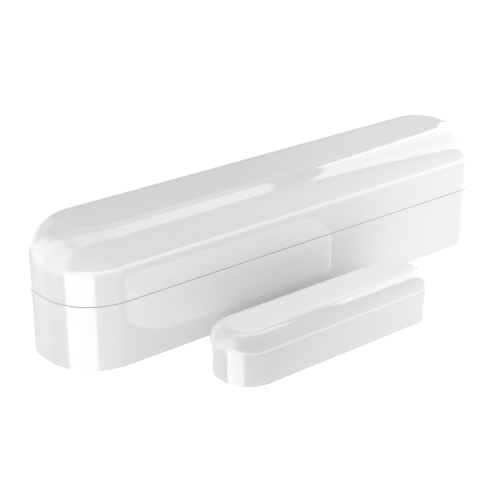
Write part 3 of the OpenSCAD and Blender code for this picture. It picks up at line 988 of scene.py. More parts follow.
# ------------------------------------------------------------------ inside of the housings
def post(x, y, top, r, seg=32, foot=0.3, rim=0.12):
    """Round post on the lower shell's floor with a flared foot and a chamfered rim."""
    wide = r + foot + 0.04
    return lathe([(wide, ROOT), (wide, FLOOR - 0.03), (r + foot * 0.35, FLOOR + foot * 0.35),
                  (r, FLOOR + foot), (r, top - rim), (r - rim, top)], (x, y, 0), seg)


def cell_bore(x0, x1, gap):
    """Cylinder round the cell, gap larger than its sleeve."""
    return lathe([(CELL_R + gap, x0), (CELL_R + gap, x1)], (0, 0, CELL_Z), 96, "x")


def shape_lower():
    seat = BOARD.z0 - 0.02
    parts = [post(x, y, seat, 1.55) for x, y in SCREWS]
    parts += [post(x, y, seat, 1.3)
              for x, y in ((BOARD.x0 + 1.7, BOARD.y0 + 1.5), (-9.0, BOARD.y0 + 0.9))]
    parts += [post(TX, TY, FLOOR + 1.4, 3.5, seg=48, foot=0.25, rim=0.1),
              rbox(1.1, -7.65, ROOT, 1.9, 6.4, BOARD.z0 - 0.2, 0.12),
              rbox(CELL.x1 + 0.5, -4.5, ROOT, CELL.x1 + 1.5, 4.5, 9.1, 0.15)]
    parts += [rbox(x, -6.2, ROOT, x + 1, 6.2, FLOOR + 3, 0.1) for x in (9.0, 23.0)]
    fuse(lower, *parts)
    bottom = BASE.z0
    # recess for the foam pad, then the cell's bed
    cut(lower, ring_shell(Plan(58.0, 12.2, 2.0),
                          [(0, -0.5), (0, bottom + 0.40), (0.1, bottom + 0.5)], arc=10, step=58))
    cut(lower, cell_bore(CELL.x0 - 1, CELL.x1 + 0.2, 0.05))
    for x, y in SCREWS:
        cut(lower, lathe([(0.75, FLOOR + 0.9), (0.75, BOARD.z0 - 0.3), (1.0, BOARD.z0 + 0.1)],
                         (x, y, 0), 24))
    for s in SIGNS:                 # a hole through the floor near each end
        cut(lower, lathe([(1.95, bottom - 0.2), (1.7, bottom + 0.18), (1.7, FLOOR - 0.25),
                          (2.05, FLOOR + 0.1), (2.05, FLOOR + 0.6)], (s * 33.0, 0, 0), 48))
    # bore of the tamper plunger, then a notch in the +Y wall
    cut(lower, lathe([(1.5, -1), (1.5, FLOOR), (2.5, FLOOR + 0.02), (2.5, FLOOR + 1.2),
                      (2.7, FLOOR + 1.6)], (TX, TY, 0), 48))
    side = BASE.width / 2
    cut(lower, rbox(-4.5, side - 0.55, WALL_TOP - 0.79, 4.5, side + 1, WALL_TOP + 0.6,
                    0.22, 3, "y"))


def shape_cover():
    """Two ribs over the cell and a blind recess over the lamp."""
    for x in (11.0, 21.0):
        fuse(cover, cut(rbox(x, -6.0, 13.9, x + 1, 6.0, COVER.z1 - 0.9, 0.1),
                        cell_bore(x - 1, x + 2, 0.15)))
    top = COVER.z1
    cut(cover, lathe([(1.5, top - ROOF - 1), (1.5, top - 0.75), (1.3, top - 0.6), (0, top - 0.6)],
                     (LED.cx, LED.cy, 0)))


def shape_cap():
    for x in (CAP.cx - 6.5, CAP.cx + 5.5):
        fuse(cap, rbox(x, CAP.cy - 2.4, CAP.z0 + 4.6, x + 1, CAP.cy + 2.4, CAP.z1 - 0.6))


def two_tone(ob, plan, inside):
    """Glossy outside, matt inside: inside(inset, z, nz) picks the faces of the inner surface."""
    paint(ob, WHITE)
    ob.data.materials.append(INNER)
    for p in ob.data.polygons:
        centre = p.center / MM
        p.material_index = 1 if inside(plan.inset(centre), centre.z, p.normal.z) else 0


shape_lower()
shape_cover()
shape_cap()
two_tone(cover, UNIT_PLAN, lambda inset, z, nz: inset > 0.45 and (
    z < COVER.z1 - UNIT_FILLET - 0.2 or (nz < 0.3 and z < COVER.z1 - 0.4 and inset > 0.9)))
two_tone(lower, UNIT_PLAN, lambda inset, z, nz: inset > 0.4 and z > BASE.z0 + 0.42)
two_tone(cap, CAP_PLAN, lambda inset, z, nz: inset > 0.45 and nz < 0.35 and z < CAP.z1 - 0.3
         and (z < CAP.z1 - CAP_FILLET or nz < 0))
place(cover, "top_cover", "cover")
place(lower, "base_housing")
place(cap, "magnet_cap", "magnet_lid")


# ------------------------------------------------------------------ foam pads
def foam_pad(name, node, radius):
    """Foam pad whose die-cut long edges are slightly wavy."""
    b = box_of(node)
    # inset, height: film edges round a bulged-in middle
    profile = [(0.10, b.z0), (0.03, b.z0 + 0.04), (0.0, b.z0 + b.height * 0.18),
               (0.045, b.z0 + b.height * 0.4), (0.05, b.z0 + b.height * 0.6),
               (0.0, b.z0 + b.height * 0.82), (0.03, b.z1 - 0.04), (0.10, b.z1)]
    plan = Plan(b.length, b.width, radius, b.cx, b.cy)
    ob = ring_shell(plan, profile, arc=12, step=1.2, name=name)
    for v in ob.data.vertices:
        x = v.co.x / MM
        wave = math.sin(x * 1.7) * 0.012 + math.sin(x * 4.1 + 1.3) * 0.006
        v.co.y -= wave * MM * (1 if v.co.y / MM > b.cy else -1)
    return ob


pad = cut(foam_pad("sensor_foam_pad", "sensor_pad", 1.8),
          lathe([(2.7, -1), (2.7, 2)], (TX, TY, 0), 48))
place(paint(pad, FOAM), "sensor_pad")
place(paint(foam_pad("magnet_foam_pad", "magnet_pad", 0.8), FOAM), "magnet_pad",
      "magnet_unit")


# ------------------------------------------------------------------ magnet unit
def magnet_base():
    """Plate with a raised frame round the magnet, two holes and a recess for the foam pad."""
    b = box_of("magnet_base")
    x, y, z0 = CAP.cx, CAP.cy, b.z0
    top = z0 + 1.5
    plate = ring_shell(Plan(b.length, b.width, CAP_PLAN.radius - CAP_WALL - 0.08, x, y),
                       [(0.15, z0), (0.04, z0 + 0.04), (0, z0 + 0.15), (0, top - 0.12),
                        (0.04, top - 0.04), (0.12, top)], arc=20, name="magnet_base_plate")
    frame = rbox(x - 11, y - 3.2, top - 0.2, x + 11, y + 3.2, b.z1, 0.14, 3)
    fuse(plate, cut(frame, rbox(x - 10.1, y - 2.45, top - 1, x + 10.1, y + 2.45, b.z1 + 1, 0.1)))
    for s in SIGNS:
        cut(plate, lathe([(1.45, z0 - 0.1), (1.3, z0 + 0.12), (1.3, top - 0.55),
                          (2.1, top + 0.25)], (x + s * 13.8, y, 0)))
    cut(plate, ring_shell(Plan(23.0, 5.6, 1.0, x, y),
                          [(0, -0.5), (0, z0 + 0.42), (0.08, z0 + 0.5)], arc=8, step=23))
    place(paint(plate, INNER), "magnet_base", "magnet_unit")


magnet_base()
place(paint(rbox(*box_of("bar_magnet"), 0.28, 4, name="bar_magnet_block"), PLATED),
      "bar_magnet", "magnet_unit")

# ------------------------------------------------------------------ places on the board
CAPACITORS, RESISTORS = islands("chip_capacitors"), islands("chip_resistors")
MCU, RADIO = box_of("microcontroller"), box_of("radio_shield")
STORE, TERM = box_of("storage_capacitor"), box_of("terminal_block")
LEARN, AERIAL = box_of("learn_switch"), box_of("antenna_coil")
NEG, POS = box_of("negative_contact"), box_of("positive_contact")
REED, LEADS = box_of("reed_glass"), box_of("reed_leads")
RX, RY, RZ = REED.cx, REED.cy, REED.cz
WIRE_R = 0.25                       # reed leads and aerial
LEAD_X = (LEADS.x0 + WIRE_R, LEADS.x1 - WIRE_R)
TERM_N = 3
TERM_PITCH = TERM.length / TERM_N
TERM_X = [TERM.x0 + TERM_PITCH * (i + 0.5) for i in range(TERM_N)]
TERM_Y = 3.2                        # axes of the terminal screws
FACES = ((TOP, 1), (BOARD.z0, -1))  # both board faces: height, outward direction

# tracks on the component side, along their centre lines
LEFT, RIGHT, BEHIND, CAN_X = MCU.x0 - 0.3, MCU.x1 + 0.3, MCU.y1 + 0.3, RADIO.x0 + 0.2
TRACKS = (
    [(LEFT, -0.2), (-15.6, -0.2), (-15.6, 1.0), (-15.2, 2.9)],
    [(LEFT, -1.2), (-16.2, -1.2), (-17.0, -1.28)],
    [(LEFT, -2.2), (-15.9, -2.2), (-16.6, -2.9)],
    [(-17.0, -2.32), (-18.2, -2.4), (-18.2, -2.6)],
    [(-24.5, -2.0), (-25.3, -2.0), (-25.3, 1.6), (-25.9, 2.2)],
    [(-24.5, -3.4), (-25.6, -3.4), (-25.6, -5.3), (-27.2, -5.3)],
    [(-23.5, -2.0), (-22.9, -2.0), (-22.9, -0.6), (-17.6, -0.6), (-16.9, 0.0)],
    [(-23.5, -3.4), (-23.3, -3.4), (-23.3, -4.8)],
    [(-24.5, -4.8), (-24.9, -4.8), (-24.9, -6.0), (-17.3, -6.0), (LEAD_X[0], RY)],
    [(LEAD_X[1], RY), (-1.4, -3.5), (-1.6, -3.5)],
    [(-1.6, -2.5), (-1.6, 1.9)],
    [(-1.6, 2.9), (-1.6, 4.0), (-3.0, 4.6), (-3.0, 5.5)],
    [(-3.4, -3.2), (-2.2, -3.2), (-2.2, -1.5)],
    [(-5.1, -3.7), (-3.9, -3.7)],
    [(-7.1, -3.7), (-6.1, -3.7)],
    [(-8.1, -3.7), (-9.0, -3.7), (-9.0, -3.0), (RIGHT, -2.0)],
    [(RIGHT, -0.6), (CAN_X, -0.6)],
    [(RIGHT, 0.4), (CAN_X, 0.4)],
    [(RIGHT, 1.2), (-9.2, 1.2), (-9.2, 4.6), (-7.6, 5.4)],
    [(-11.0, BEHIND), (-11.0, 3.0)],
    [(-12.8, BEHIND), (-12.8, 3.0)],
    [(-15.2, 4.1), (-15.2, 4.9)],
    [(-15.2, 5.9), (-15.2, 6.1), (-13.3, 6.1)],
    [(TERM_X[0], 0.4), (TERM_X[0], -1.0), (-23.9, -1.4)],
    [(TERM_X[2], 0.4), (TERM_X[2], -1.1), (-17.4, -1.6)])
VIAS = (
    (-25.9, 2.4), (-16.7, 0.15), (-23.3, -5.1), (-15.15, 2.75), (-18.2, -2.75), (-9.3, -3.0),
    (-2.2, -1.2), (-1.1, 4.2), (-26.2, -1.4), (-26.2, 0.4), (-19.6, -6.0), (-13.0, 6.1),
    (-3.4, -4.3), (-5.5, -4.3), (-15.9, -5.9), (-8.4, 4.6), (-25.4, 5.8), (-28.6, 3.3))


# ------------------------------------------------------------------ circuit board
def solder_pad(x, y, w, h):
    outline = rrect(x, y, w, h, min(w, h) * 0.22, 3)
    return paint(prism(outline, TOP - 0.02, TOP + 0.022, bevel=0.008), TIN)


def track(points, width=0.22, lo=TOP - 0.015, hi=TOP + 0.012):
    """Copper track under the lacquer, its corners cut off."""
    points = [Vector(p) for p in points]
    line = [points[0]]
    for a, b, c in zip(points, points[1:], points[2:]):
        k = min(0.5, (a - b).length * 0.45, (c - b).length * 0.45)
        line += [b + (a - b).normalized() * k, b + (c - b).normalized() * k]
    line.append(points[-1])
    steps = [(b - a).normalized() for a, b in zip(line, line[1:])]
    left, right = [], []
    for p, before, after in zip(line, steps[:1] + steps, steps + steps[-1:]):
        t = (before + after).normalized()
        n = Vector((-t.y, t.x)) * (width / 2 / max(0.5, t.dot(before)))
        left.append(tuple(p + n))
        right.append(tuple(p - n))
    return paint(prism(left + right[::-1], lo, hi, bevel=0.004), TRACE)


def under_track(points, width):
    return track(points, width, BOARD.z0 - 0.012, BOARD.z0 + 0.015)


def board_rings(x, y, profile, mat, seg):
    """The same ring on both faces; the profile is (radius, height above the face)."""
    return [paint(lathe([(r, z + h * s) for r, h in profile], (x, y, 0), seg), mat)
            for z, s in FACES]


def legend(x0, y0, x1, y1, w=0.09):
    """Printed outline round a component."""
    bars = ((x0, y0, x1, y0 + w), (x0, y1 - w, x1, y1), (x0, y0, x0 + w, y1), (x1 - w, y0, x1, y1))
    return [paint(prism([(a, b), (c, b), (c, d), (a, d)], TOP - 0.01, TOP + 0.016), SILK)
            for a, b, c, d in bars]


def mound(x, y, profile, z=TOP, up=1, seg=24):
    """Solder on a board face; the profile is (radius, height above the face)."""
    return paint(lathe([(r, z + h * up) for r, h in profile], (x, y, 0), seg), TIN)


def mcu_contacts(outset, width, length):
    """(x, y, size x, size y) of the contacts, their centres outset from the chip's edges."""
    for i in range(10):
        x = MCU.x0 + 0.45 + i * (MCU.length - 0.9) / 9
        yield x, MCU.y0 - outset, width, length
        yield x, MCU.y1 + outset, width, length
        y = MCU.y0 + 0.45 + i * (MCU.width - 0.9) / 9
        yield MCU.x0 - outset, y, length, width
        yield MCU.x1 + outset, y, length, width


def bare_board(chamfer=0.99):
    x0, y0, x1, y1 = BOARD.x0, BOARD.y0, BOARD.x1, BOARD.y1
    outline = [(x0 + chamfer, y0), (x1, y0), (x1, y1), (x0 + chamfer, y1),
               (x0, y1 - chamfer), (x0, y0 + chamfer)]
    board = prism(outline, BOARD.z0, TOP, bevel=0.03, name="circuit_board_assembly")
    holes = [(x, y, 0.85, 32) for x, y in SCREWS] + [(x, RY, 0.35, 20) for x in LEAD_X]
    for x, y, r, seg in holes:
        cut(board, lathe([(r, BOARD.z0 - 1), (r, TOP + 1)], (x, y, 0), seg))
    paint(board, MASK)
    board.data.materials.append(CORE)
    for p in board.data.polygons:
        p.material_index = 0 if abs(p.normal.z) > 0.5 else 1
    return board


def circuit_board():
    bits = [bare_board()]
    for b in CAPACITORS + RESISTORS:
        for s in SIGNS:
            if b.length > b.width:
                bits.append(solder_pad(b.cx + s * 0.52, b.cy, 0.52, 0.62))
            else:
                bits.append(solder_pad(b.cx, b.cy + s * 0.52, 0.62, 0.52))
    bits += [solder_pad(*c) for c in mcu_contacts(outset=0.12, width=0.24, length=0.55)]
    for x in LEAD_X:
        bits += board_rings(x, RY, [(0.345, -0.03), (0.345, 0.02), (0.7, 0.02), (0.74, -0.02)],
                            GOLD, 24)
    for x, y in SCREWS:
        bits.append(mound(x, y, [(0.86, -0.02), (0.86, 0.018), (1.42, 0.018), (1.46, -0.02)],
                          seg=32))
    bits += [solder_pad(NEG.x0 + 0.7, 0, 1.7, 3.4), solder_pad(POS.x0 + 0.5, 5.95, 1.3, 1.0),
             solder_pad(LED.cx, LED.cy + 0.72, 0.8, 0.5),
             solder_pad(LED.cx, LED.cy - 0.72, 0.8, 0.5)]
    bits += [solder_pad(LEARN.cx + s * 2.55, LEARN.cy + t * 1.15, 0.7, 0.75) for s, t in CORNERS]
    # soldered pins of the terminals and the reed switch
    for x in TERM_X:
        bits.append(mound(x, TERM_Y, [(0.95, -0.02), (0.85, 0.08), (0.5, 0.30), (0.38, 0.62),
                                      (0, 0.70)], BOARD.z0, -1))
    for x in LEAD_X:
        bits.append(mound(x, RY, [(0.62, -0.02), (0.5, 0.12), (0.3, 0.42), (0.25, 0.55),
                                  (0, 0.58)], BOARD.z0, -1))
        bits.append(mound(x, RY, [(0.60, -0.02), (0.42, 0.10), (0.28, 0.26), (0.24, 0.3)]))
    # box, then how far the printed outline stands off at x0, y0, x1, y1
    for b, (a0, b0, a1, b1) in ((MCU, (0.55, 0.55, 0.55, 0.55)), (LEARN, (0.25, 0.25, 0.25, 0.2)),
                                (STORE, (0.12, 0.12, 0.12, 0.03))):
        bits += legend(b.x0 - a0, b.y0 - b0, b.x1 + a1, b.y1 + b1)
    bits += legend(RX - 6.2, RY - 1.2, RX + 6.2, RY + 1.28, 0.07)
    bits += legend(AERIAL.x0 - 0.2, AERIAL.y0 - 0.2, AERIAL.x1 + 0.3, AERIAL.y1 + 0.2)
    dot = lathe([(0.16, TOP - 0.01), (0.16, TOP + 0.016), (0, TOP + 0.016)],
                (MCU.x0 - 0.85, MCU.y1 + 0.35, 0), 16)
    bits.append(paint(dot, SILK))
    bits += [track(points) for points in TRACKS]
    for y in (-5.6, -4.4, 3.6, 5.2):    # long tracks on the underside
        bits.append(under_track([(BOARD.x0 + 2.2, y), (-22, y), (-20, y * 0.8), (-4.2, y * 0.8),
                                 (-3, y * 0.6)], 0.4))
    bits += [under_track([(-26, 0), (-17, 0), (-15.5, 1.2)], 0.6),
             under_track([(-8.6, 0.8), (-3, 0.8)], 0.8)]
    for x, y in VIAS:
        bits += board_rings(x, y, [(0.13, -0.02), (0.13, 0.016), (0.17, 0.022), (0.26, 0.02),
                                   (0.29, -0.01)], GOLD, 16)
    place(merge("circuit_board_assembly", bits), "circuit_board")


circuit_board()


# ------------------------------------------------------------------ parts on the board
def chip(box, height, body, band=None):
    """Chip part: coated body with plated ends, on small solder fillets."""
    x0, y0, z0, x1, y1, _ = box
    z1 = z0 + height
    along = 0 if box.length > box.width else 1
    lo, hi = box[along], box[along + 3]

    def slab(start, end, mat, inset, bottom, top, r, seg=2):
        """Block over a share of the chip's length."""
        size = [x0 + inset, y0 + inset, bottom, x1 - inset, y1 - inset, top]
        size[along], size[along + 3] = lo + (hi - lo) * start, lo + (hi - lo) * end
        return paint(rbox(*size, r, seg), mat)

    parts = [slab(0.18, 0.82, body, 0.015, z0 + 0.0075, z1 - 0.015, 0.02),
             slab(0.0, 0.23, TIN, 0.0, z0, z1, 0.05),
             slab(0.77, 1.0, TIN, 0.0, z0, z1, 0.05)]
    if band:
        parts.append(slab(0.24, 0.76, band, 0.03, z1 - 0.03, z1 + 0.004, 0.01, 1))
    middle = (box.cy, box.cx)[along]
    for s, end in ((-1, lo), (1, hi)):
        fillet = [(end - s * 0.02, TOP), (end + s * 0.2, TOP + 0.01),
                  (end + s * 0.06, TOP + height * 0.35), (end - s * 0.02, TOP + height * 0.6)]
        parts.append(paint(prism(fillet, middle - 0.22, middle + 0.22, "yx"[along], 0.01), TIN))
    return parts


def controller():
    body = cut(rbox(*MCU, 0.05),
               lathe([(0, MCU.z1 - 0.05), (0.24, MCU.z1 - 0.05), (0.3, MCU.z1 + 0.1)],
                     (MCU.x0 + 0.7, MCU.y1 - 0.7, 0), 24))
    parts = [paint(body, EPOXY)]
    for x, y, w, h in mcu_contacts(outset=-0.085, width=0.2, length=0.23):
        lead = rbox(x - w / 2, y - h / 2, MCU.z0, x + w / 2, y + h / 2, MCU.z0 + 0.2, 0.02)
        parts.append(paint(lead, TIN))
    place(merge("controller_chip", parts), "microcontroller")


def radio_shield():
    """Hollow can with slots along its foot and two dimples in its top."""
    b = RADIO
    can = rbox(*b, 0.28, 4, name="radio_shield_can")
    cut(can, rbox(b.x0 + 0.2, b.y0 + 0.2, b.z0 - 1, b.x1 - 0.2, b.y1 - 0.2, b.z1 - 0.2, 0.12, 3))
    low, high = b.z0 - 1, b.z0 + 0.32
    for i in range(4):
        x = b.x0 + 1.0 + i * 1.35
        cut(can, rbox(x, b.y0 - 1, low, x + 0.55, b.y1 + 1, high, 0.1, 2, "y"))
    for i in range(3):
        y = b.y0 + 1.1 + i * 1.7
        cut(can, rbox(b.x0 - 1, y, low, b.x1 + 1, y + 0.55, high, 0.1, 2, "x"))
    for x in (-7.2, -4.2):
        cut(can, lathe([(0.4, b.z1 - 0.5), (0.4, b.z1 - 0.06), (0.5, b.z1 + 0.1)],
                       (x, b.y1 - 1.4, 0), 24))
    place(paint(can, SHIELD_TIN), "radio_shield")


def crystal():
    b = box_of("crystal")
    place(merge("crystal_package", [
        paint(rbox(b.x0, b.y0, b.z0, b.x1, b.y1, b.z0 + 0.28, 0.05), ALUMINA),
        paint(rbox(b.x0 + 0.1, b.y0 + 0.1, b.z0 + 0.27, b.x1 - 0.1, b.y1 - 0.1, b.z0 + 0.40, 0.05),
              NICKEL),
        paint(rbox(b.x0 + 0.24, b.y0 + 0.2, b.z0 + 0.3, b.x1 - 0.24, b.y1 - 0.2, b.z1, 0.18, 4),
              NICKEL)]), "crystal")


def storage_capacitor():
    """Upright aluminium can on a black base with two chamfered corners."""
    b, chamfer = STORE, 0.8
    x, y = b.cx, 4.38
    z, top = TOP + 0.8, b.z1
    outline = [(b.x0, b.y0), (b.x1, b.y0), (b.x1, b.y1 - chamfer), (b.x1 - chamfer, b.y1),
               (b.x0 + chamfer, b.y1), (b.x0, b.y1 - chamfer)]
    parts = [paint(prism(outline, b.z0, z, bevel=0.08), BLACK)]
    can = lathe([(0, z - 0.05), (1.75, z - 0.05), (1.9, z + 0.05), (2.0, z + 0.25),
                 (2.0, z + 0.55), (1.86, z + 0.7), (1.86, z + 0.8), (2.0, z + 0.95),
                 (2.0, top - 0.25), (1.93, top - 0.08), (1.78, top), (1.5, top - 0.01),
                 (1.0, top - 0.01), (0.5, top - 0.01), (0, top - 0.01)], (x, y, 0), 64)
    parts.append(paint(can, ALU))
    # printed polarity mark: a segment of the top's circle, 0.62 from the axis
    r = 1.5
    half = math.acos(0.62 / r)
    angles = [math.pi - half + 2 * half * i / 24 for i in range(25)]
    mark = [(x + r * math.cos(a), y + r * math.sin(a)) for a in angles]
    parts.append(paint(prism(mark, top - 0.03, top - 0.001), BLACK))
    for y0, y1 in ((y - 2.1, y - 1.2), (y + 1.1, min(y + 2.1, b.y1 + 0.02))):
        parts.append(paint(rbox(x - 0.35, y0, TOP + 0.01, x + 0.35, y1, TOP + 0.16, 0.03), TIN))
    place(merge("storage_can", parts), "storage_capacitor")


def status_lamp():
    b = LED
    parts = [paint(rbox(b.x0, b.y0, b.z0, b.x1, b.y1, b.z0 + 0.24, 0.03), ALUMINA),
             paint(rbox(b.x0 + 0.05, b.y0 + 0.3, b.z0 + 0.2, b.x1 - 0.05, b.y1 - 0.3, b.z1,
                        0.1, 4), LAMP)]
    for y0, y1 in ((b.y0 - 0.01, b.y0 + 0.24), (b.y1 - 0.24, b.y1 + 0.01)):
        parts.append(paint(rbox(b.x0 - 0.01, y0, b.z0 - 0.005, b.x1 + 0.01, y1, b.z0 + 0.25,
                                0.03), GOLD))
    place(merge("status_lamp", parts), "status_led")


def aerial(turns=7, per=40):
    """Coil along Y with both ends bent down to the board."""
    b = AERIAL
    r, x, z = b.length / 2 - WIRE_R, b.cx, b.cz
    y0, y1 = b.y0 + WIRE_R, b.y1 - WIRE_R
    n = turns * per
    points = [(x - 0.9, y0 - 0.05, TOP - 0.1), (x - 0.55, y0 - 0.02, TOP + 0.12)]
    for i in range(n + 1):
        a = 2 * math.pi * i / per
        points.append((x + r * math.sin(a), y0 + (y1 - y0) * i / n, z - r * math.cos(a)))
    points += [(x + 0.6, y1 + 0.02, TOP + 0.12), (x + 0.9, y1 + 0.05, TOP - 0.1)]
    parts = [paint(tube(points, WIRE_R, 14), GILT)]
    for end_x, end_y in ((x - 0.9, y0 - 0.05), (x + 0.9, y1 + 0.05)):
        parts.append(mound(end_x, end_y, [(0.62, -0.02), (0.5, 0.08), (0.3, 0.24), (0, 0.3)]))
    place(merge("aerial", parts), "antenna_coil", angle=40)


place(merge("ceramic_chips", [p for b in CAPACITORS for p in chip(b, 0.5, CERAMIC)]),
      "chip_capacitors")
place(merge("resistor_chips", [p for b in RESISTORS for p in chip(b, 0.35, ALUMINA, EPOXY)]),
      "chip_resistors")
controller()
radio_shield()
crystal()
storage_capacitor()
status_lamp()
aerial()


# ------------------------------------------------------------------ terminals and screws
def terminal_block():
    """Block with a wire mouth on the -Y side and a screw well for every terminal."""
    b = TERM
    block = rbox(*b, 0.14, 3, name="terminal_body")
    for x in TERM_X:
        cut(block,
            rbox(x - 0.98, b.y0 - 1, TOP + 0.8, x + 0.98, 5.2, TOP + 3.5, 0.12, 3, "y"),
            lathe([(1.06, TOP + 3), (1.06, b.z1 - 0.22), (1.22, b.z1 + 0.1)], (x, TERM_Y, 0), 32),
            rbox(x - 1.12, b.y0 - 1, TOP + 0.66, x + 1.12, b.y0 + 0.16, TOP + 3.64, 0.16, 3, "y"))
    for i in range(1, TERM_N):      # grooves between the terminals
        x = b.x0 + TERM_PITCH * i
        cut(block,
            rbox(x - 0.09, b.y0 - 1, TOP + 4.4, x + 0.09, b.y0 + 0.18, b.z1 + 1, 0.02, 1),
            rbox(x - 0.09, b.y0 - 1, b.z1 - 0.18, x + 0.09, b.y1 + 1, b.z1 + 1, 0.02, 1))
    cut(block, rbox(b.x0 - 1, b.y0 - 1, b.z1 - 0.75, b.x1 + 1, b.y0 + 0.35, b.z1 + 1,
                    0.2, 3, "x"))
    place(paint(block, GREEN), "terminal_block")


def clamp_cage(b):
    cage = cut(rbox(*b),
               rbox(b.cx - 0.68, b.y0 - 1, TOP + 1.1, b.cx + 0.68, b.y1 + 1, TOP + 2.8,
                    0.12, 2, "y"),
               lathe([(0.85, TOP + 2), (0.85, TOP + 5)], (b.cx, TERM_Y, 0), 32))
    return paint(cage, BRASS)


def screw(x, y, z0, head, z1, shank_r, head_r, turn, cross, pitch=0.35):
    """Screw from z0 to z1 with a domed head, a slot or cross turned by turn, and a thread."""
    profile = [(0, z0), (shank_r * 0.55, z0 + 0.02)]
    z = z0 + 0.1
    while z < head - 0.25:
        profile += [(shank_r * 0.80, z), (shank_r, z + pitch * 0.4), (shank_r, z + pitch * 0.5),
                    (shank_r * 0.80, z + pitch * 0.9)]
        z += pitch
    rise = z1 - head
    profile += [(shank_r * 0.9, head), (head_r * 0.96, head), (head_r, head + 0.07),
                (head_r, head + rise * 0.45), (head_r * 0.93, head + rise * 0.72),
                (head_r * 0.72, z1 - 0.04), (head_r * 0.4, z1), (0, z1)]
    ob = lathe(profile, (x, y, 0))
    half, depth = (head_r * 0.62, 0.42) if cross else (head_r * 1.3, rise * 0.4)
    for angle in (0, 90) if cross else (0,):
        slot = rbox(-half, -0.15, -depth, half, 0.15, 1.0, 0.03, 1)
        slot.data.transform(Matrix.Rotation(math.radians(turn + angle), 4, "Z"))
        slot.data.transform(Matrix.Translation(Vector((x, y, z1)) * MM))
        cut(ob, slot)
    return paint(ob, ZINC)


terminal_block()
place(merge("clamp_cages", [clamp_cage(b) for b in islands("terminal_clamps")]),
      "terminal_clamps")
place(merge("clamp_screws", [
    screw(b.cx, b.cy, b.z0, TOP + 4.6, b.z1, shank_r=0.78, head_r=0.98, turn=25 + 50 * i,
          cross=False) for i, b in enumerate(islands("terminal_screws"))]),
    "terminal_screws")
place(merge("board_fixings", [
    screw(b.cx, b.cy, b.z0, TOP + 0.02, b.z1, shank_r=0.74, head_r=1.4, turn=20 + 25 * i,
          cross=True) for i, b in enumerate(SCREW_BOXES)]),
    "board_screws")


# ------------------------------------------------------------------ reed switch
def reed_tube():
    half = REED.length / 2
    # radius, distance from the tube's end
    outer = [(0.27, 0), (0.62, 0.06), (0.92, 0.28), (1.09, 0.62), (1.15, 1.1)]
    inner = [(0.27, 0.95), (0.55, 1.1), (0.80, 1.4), (0.88, 1.8)]
    profile = [(r, -half + d) for r, d in outer] + [(1.15, 0)]
    profile += [(r, half - d) for r, d in reversed(outer)]
    profile += [(r, half - d) for r, d in inner] + [(0.88, 0)]
    profile += [(r, -half + d) for r, d in reversed(inner)]
    ob = lathe(profile, (RX, RY, RZ), 48, "x", closed=True, name="reed_tube")
    place(paint(ob, GLASS), "reed_glass", angle=50)


def reed_wires():
    """Two leads bent down through the board, and the fixed blade inside the tube."""
    parts = [paint(tube(bent([(x, RY, BOARD.z0 - 0.5), (x, RY, RZ), (end, RY, RZ)], 0.7),
                        WIRE_R, 14), ALLOY) for x, end in zip(LEAD_X, (-13.9, -4.02))]
    blade = [(-14.1, RY - 0.2), (-13.6, RY - 0.5), (-8.6, RY - 0.5), (-8.4, RY - 0.3),
             (-8.4, RY + 0.3), (-8.6, RY + 0.5), (-13.6, RY + 0.5), (-14.1, RY + 0.2)]
    parts.append(paint(prism(blade, RZ - 0.03, RZ + 0.17, bevel=0.03), ALLOY))
    place(merge("reed_wires", parts), "reed_leads", angle=40)


def reed_blade():
    b = box_of("reed_blade")
    outline = [(b.x0, RY - 0.3), (b.x0 + 0.2, RY - 0.5), (b.x1 - 0.6, RY - 0.5),
               (b.x1, RY - 0.25), (b.x1, RY + 0.25), (b.x1 - 0.6, RY + 0.5),
               (b.x0 + 0.2, RY + 0.5), (b.x0, RY + 0.3)]
    ob = prism(outline, b.z0, b.z1, bevel=0.03, name="reed_spring_blade")
    place(paint(ob, ALLOY), "reed_blade", "reed")


reed_tube()
reed_wires()
reed_blade()


# ------------------------------------------------------------------ switches
def learn_switch():
    b = LEARN
    x, y, top = b.cx, b.cy, b.z1
    body = rbox(b.x0, b.y0, b.z0, b.x1, b.y1, top - 0.16, 0.12, 3)
    plate = rbox(b.x0 + 0.08, b.y0 + 0.08, top - 0.2, b.x1 - 0.08, b.y1 - 0.08, top, 0.09, 3)
    for ob in (body, plate):
        cut(ob, lathe([(1.16, TOP + 0.85), (1.16, top - 0.06), (1.26, top + 0.1)], (x, y, 0)))
    parts = [paint(body, BLACK), paint(plate, NICKEL)]
    # leg seen along Y: distance from the switch's middle, height over the board
    leg = ((2.1, 0.12), (2.45, 0.14), (2.6, 0.02), (2.85, 0.02), (2.85, 0.14), (2.66, 0.15),
           (2.5, 0.27), (2.1, 0.27))
    for s, t in CORNERS:
        rivet = lathe([(0.22, top - 0.1), (0.22, top + 0.02), (0.12, top + 0.07),
                       (0, top + 0.08)], (x + s * 1.75, y + t * 1.35, 0), 16)
        leg_y = y + t * 1.15
        outline = [(x + s * d, TOP + h) for d, h in leg]
        parts += [paint(rivet, BLACK),
                  paint(prism(outline, leg_y - 0.28, leg_y + 0.28, "y", 0.02), TIN)]
    place(merge("learn_switch_body", parts), "learn_switch")


def learn_button():
    """Round key with a shallow dish in its top."""
    b = box_of("learn_button")
    r, top = b.length / 2, b.z1
    key = lathe([(0, b.z0), (r, b.z0), (r, top - 0.2), (r - 0.06, top - 0.06), (r - 0.2, top),
                 (r - 0.4, top - 0.02), (r - 0.5, top - 0.08), (0, top - 0.12)],
                (LEARN.cx, LEARN.cy, 0), name="learn_key")
    place(paint(key, IVORY), "learn_button", "button")


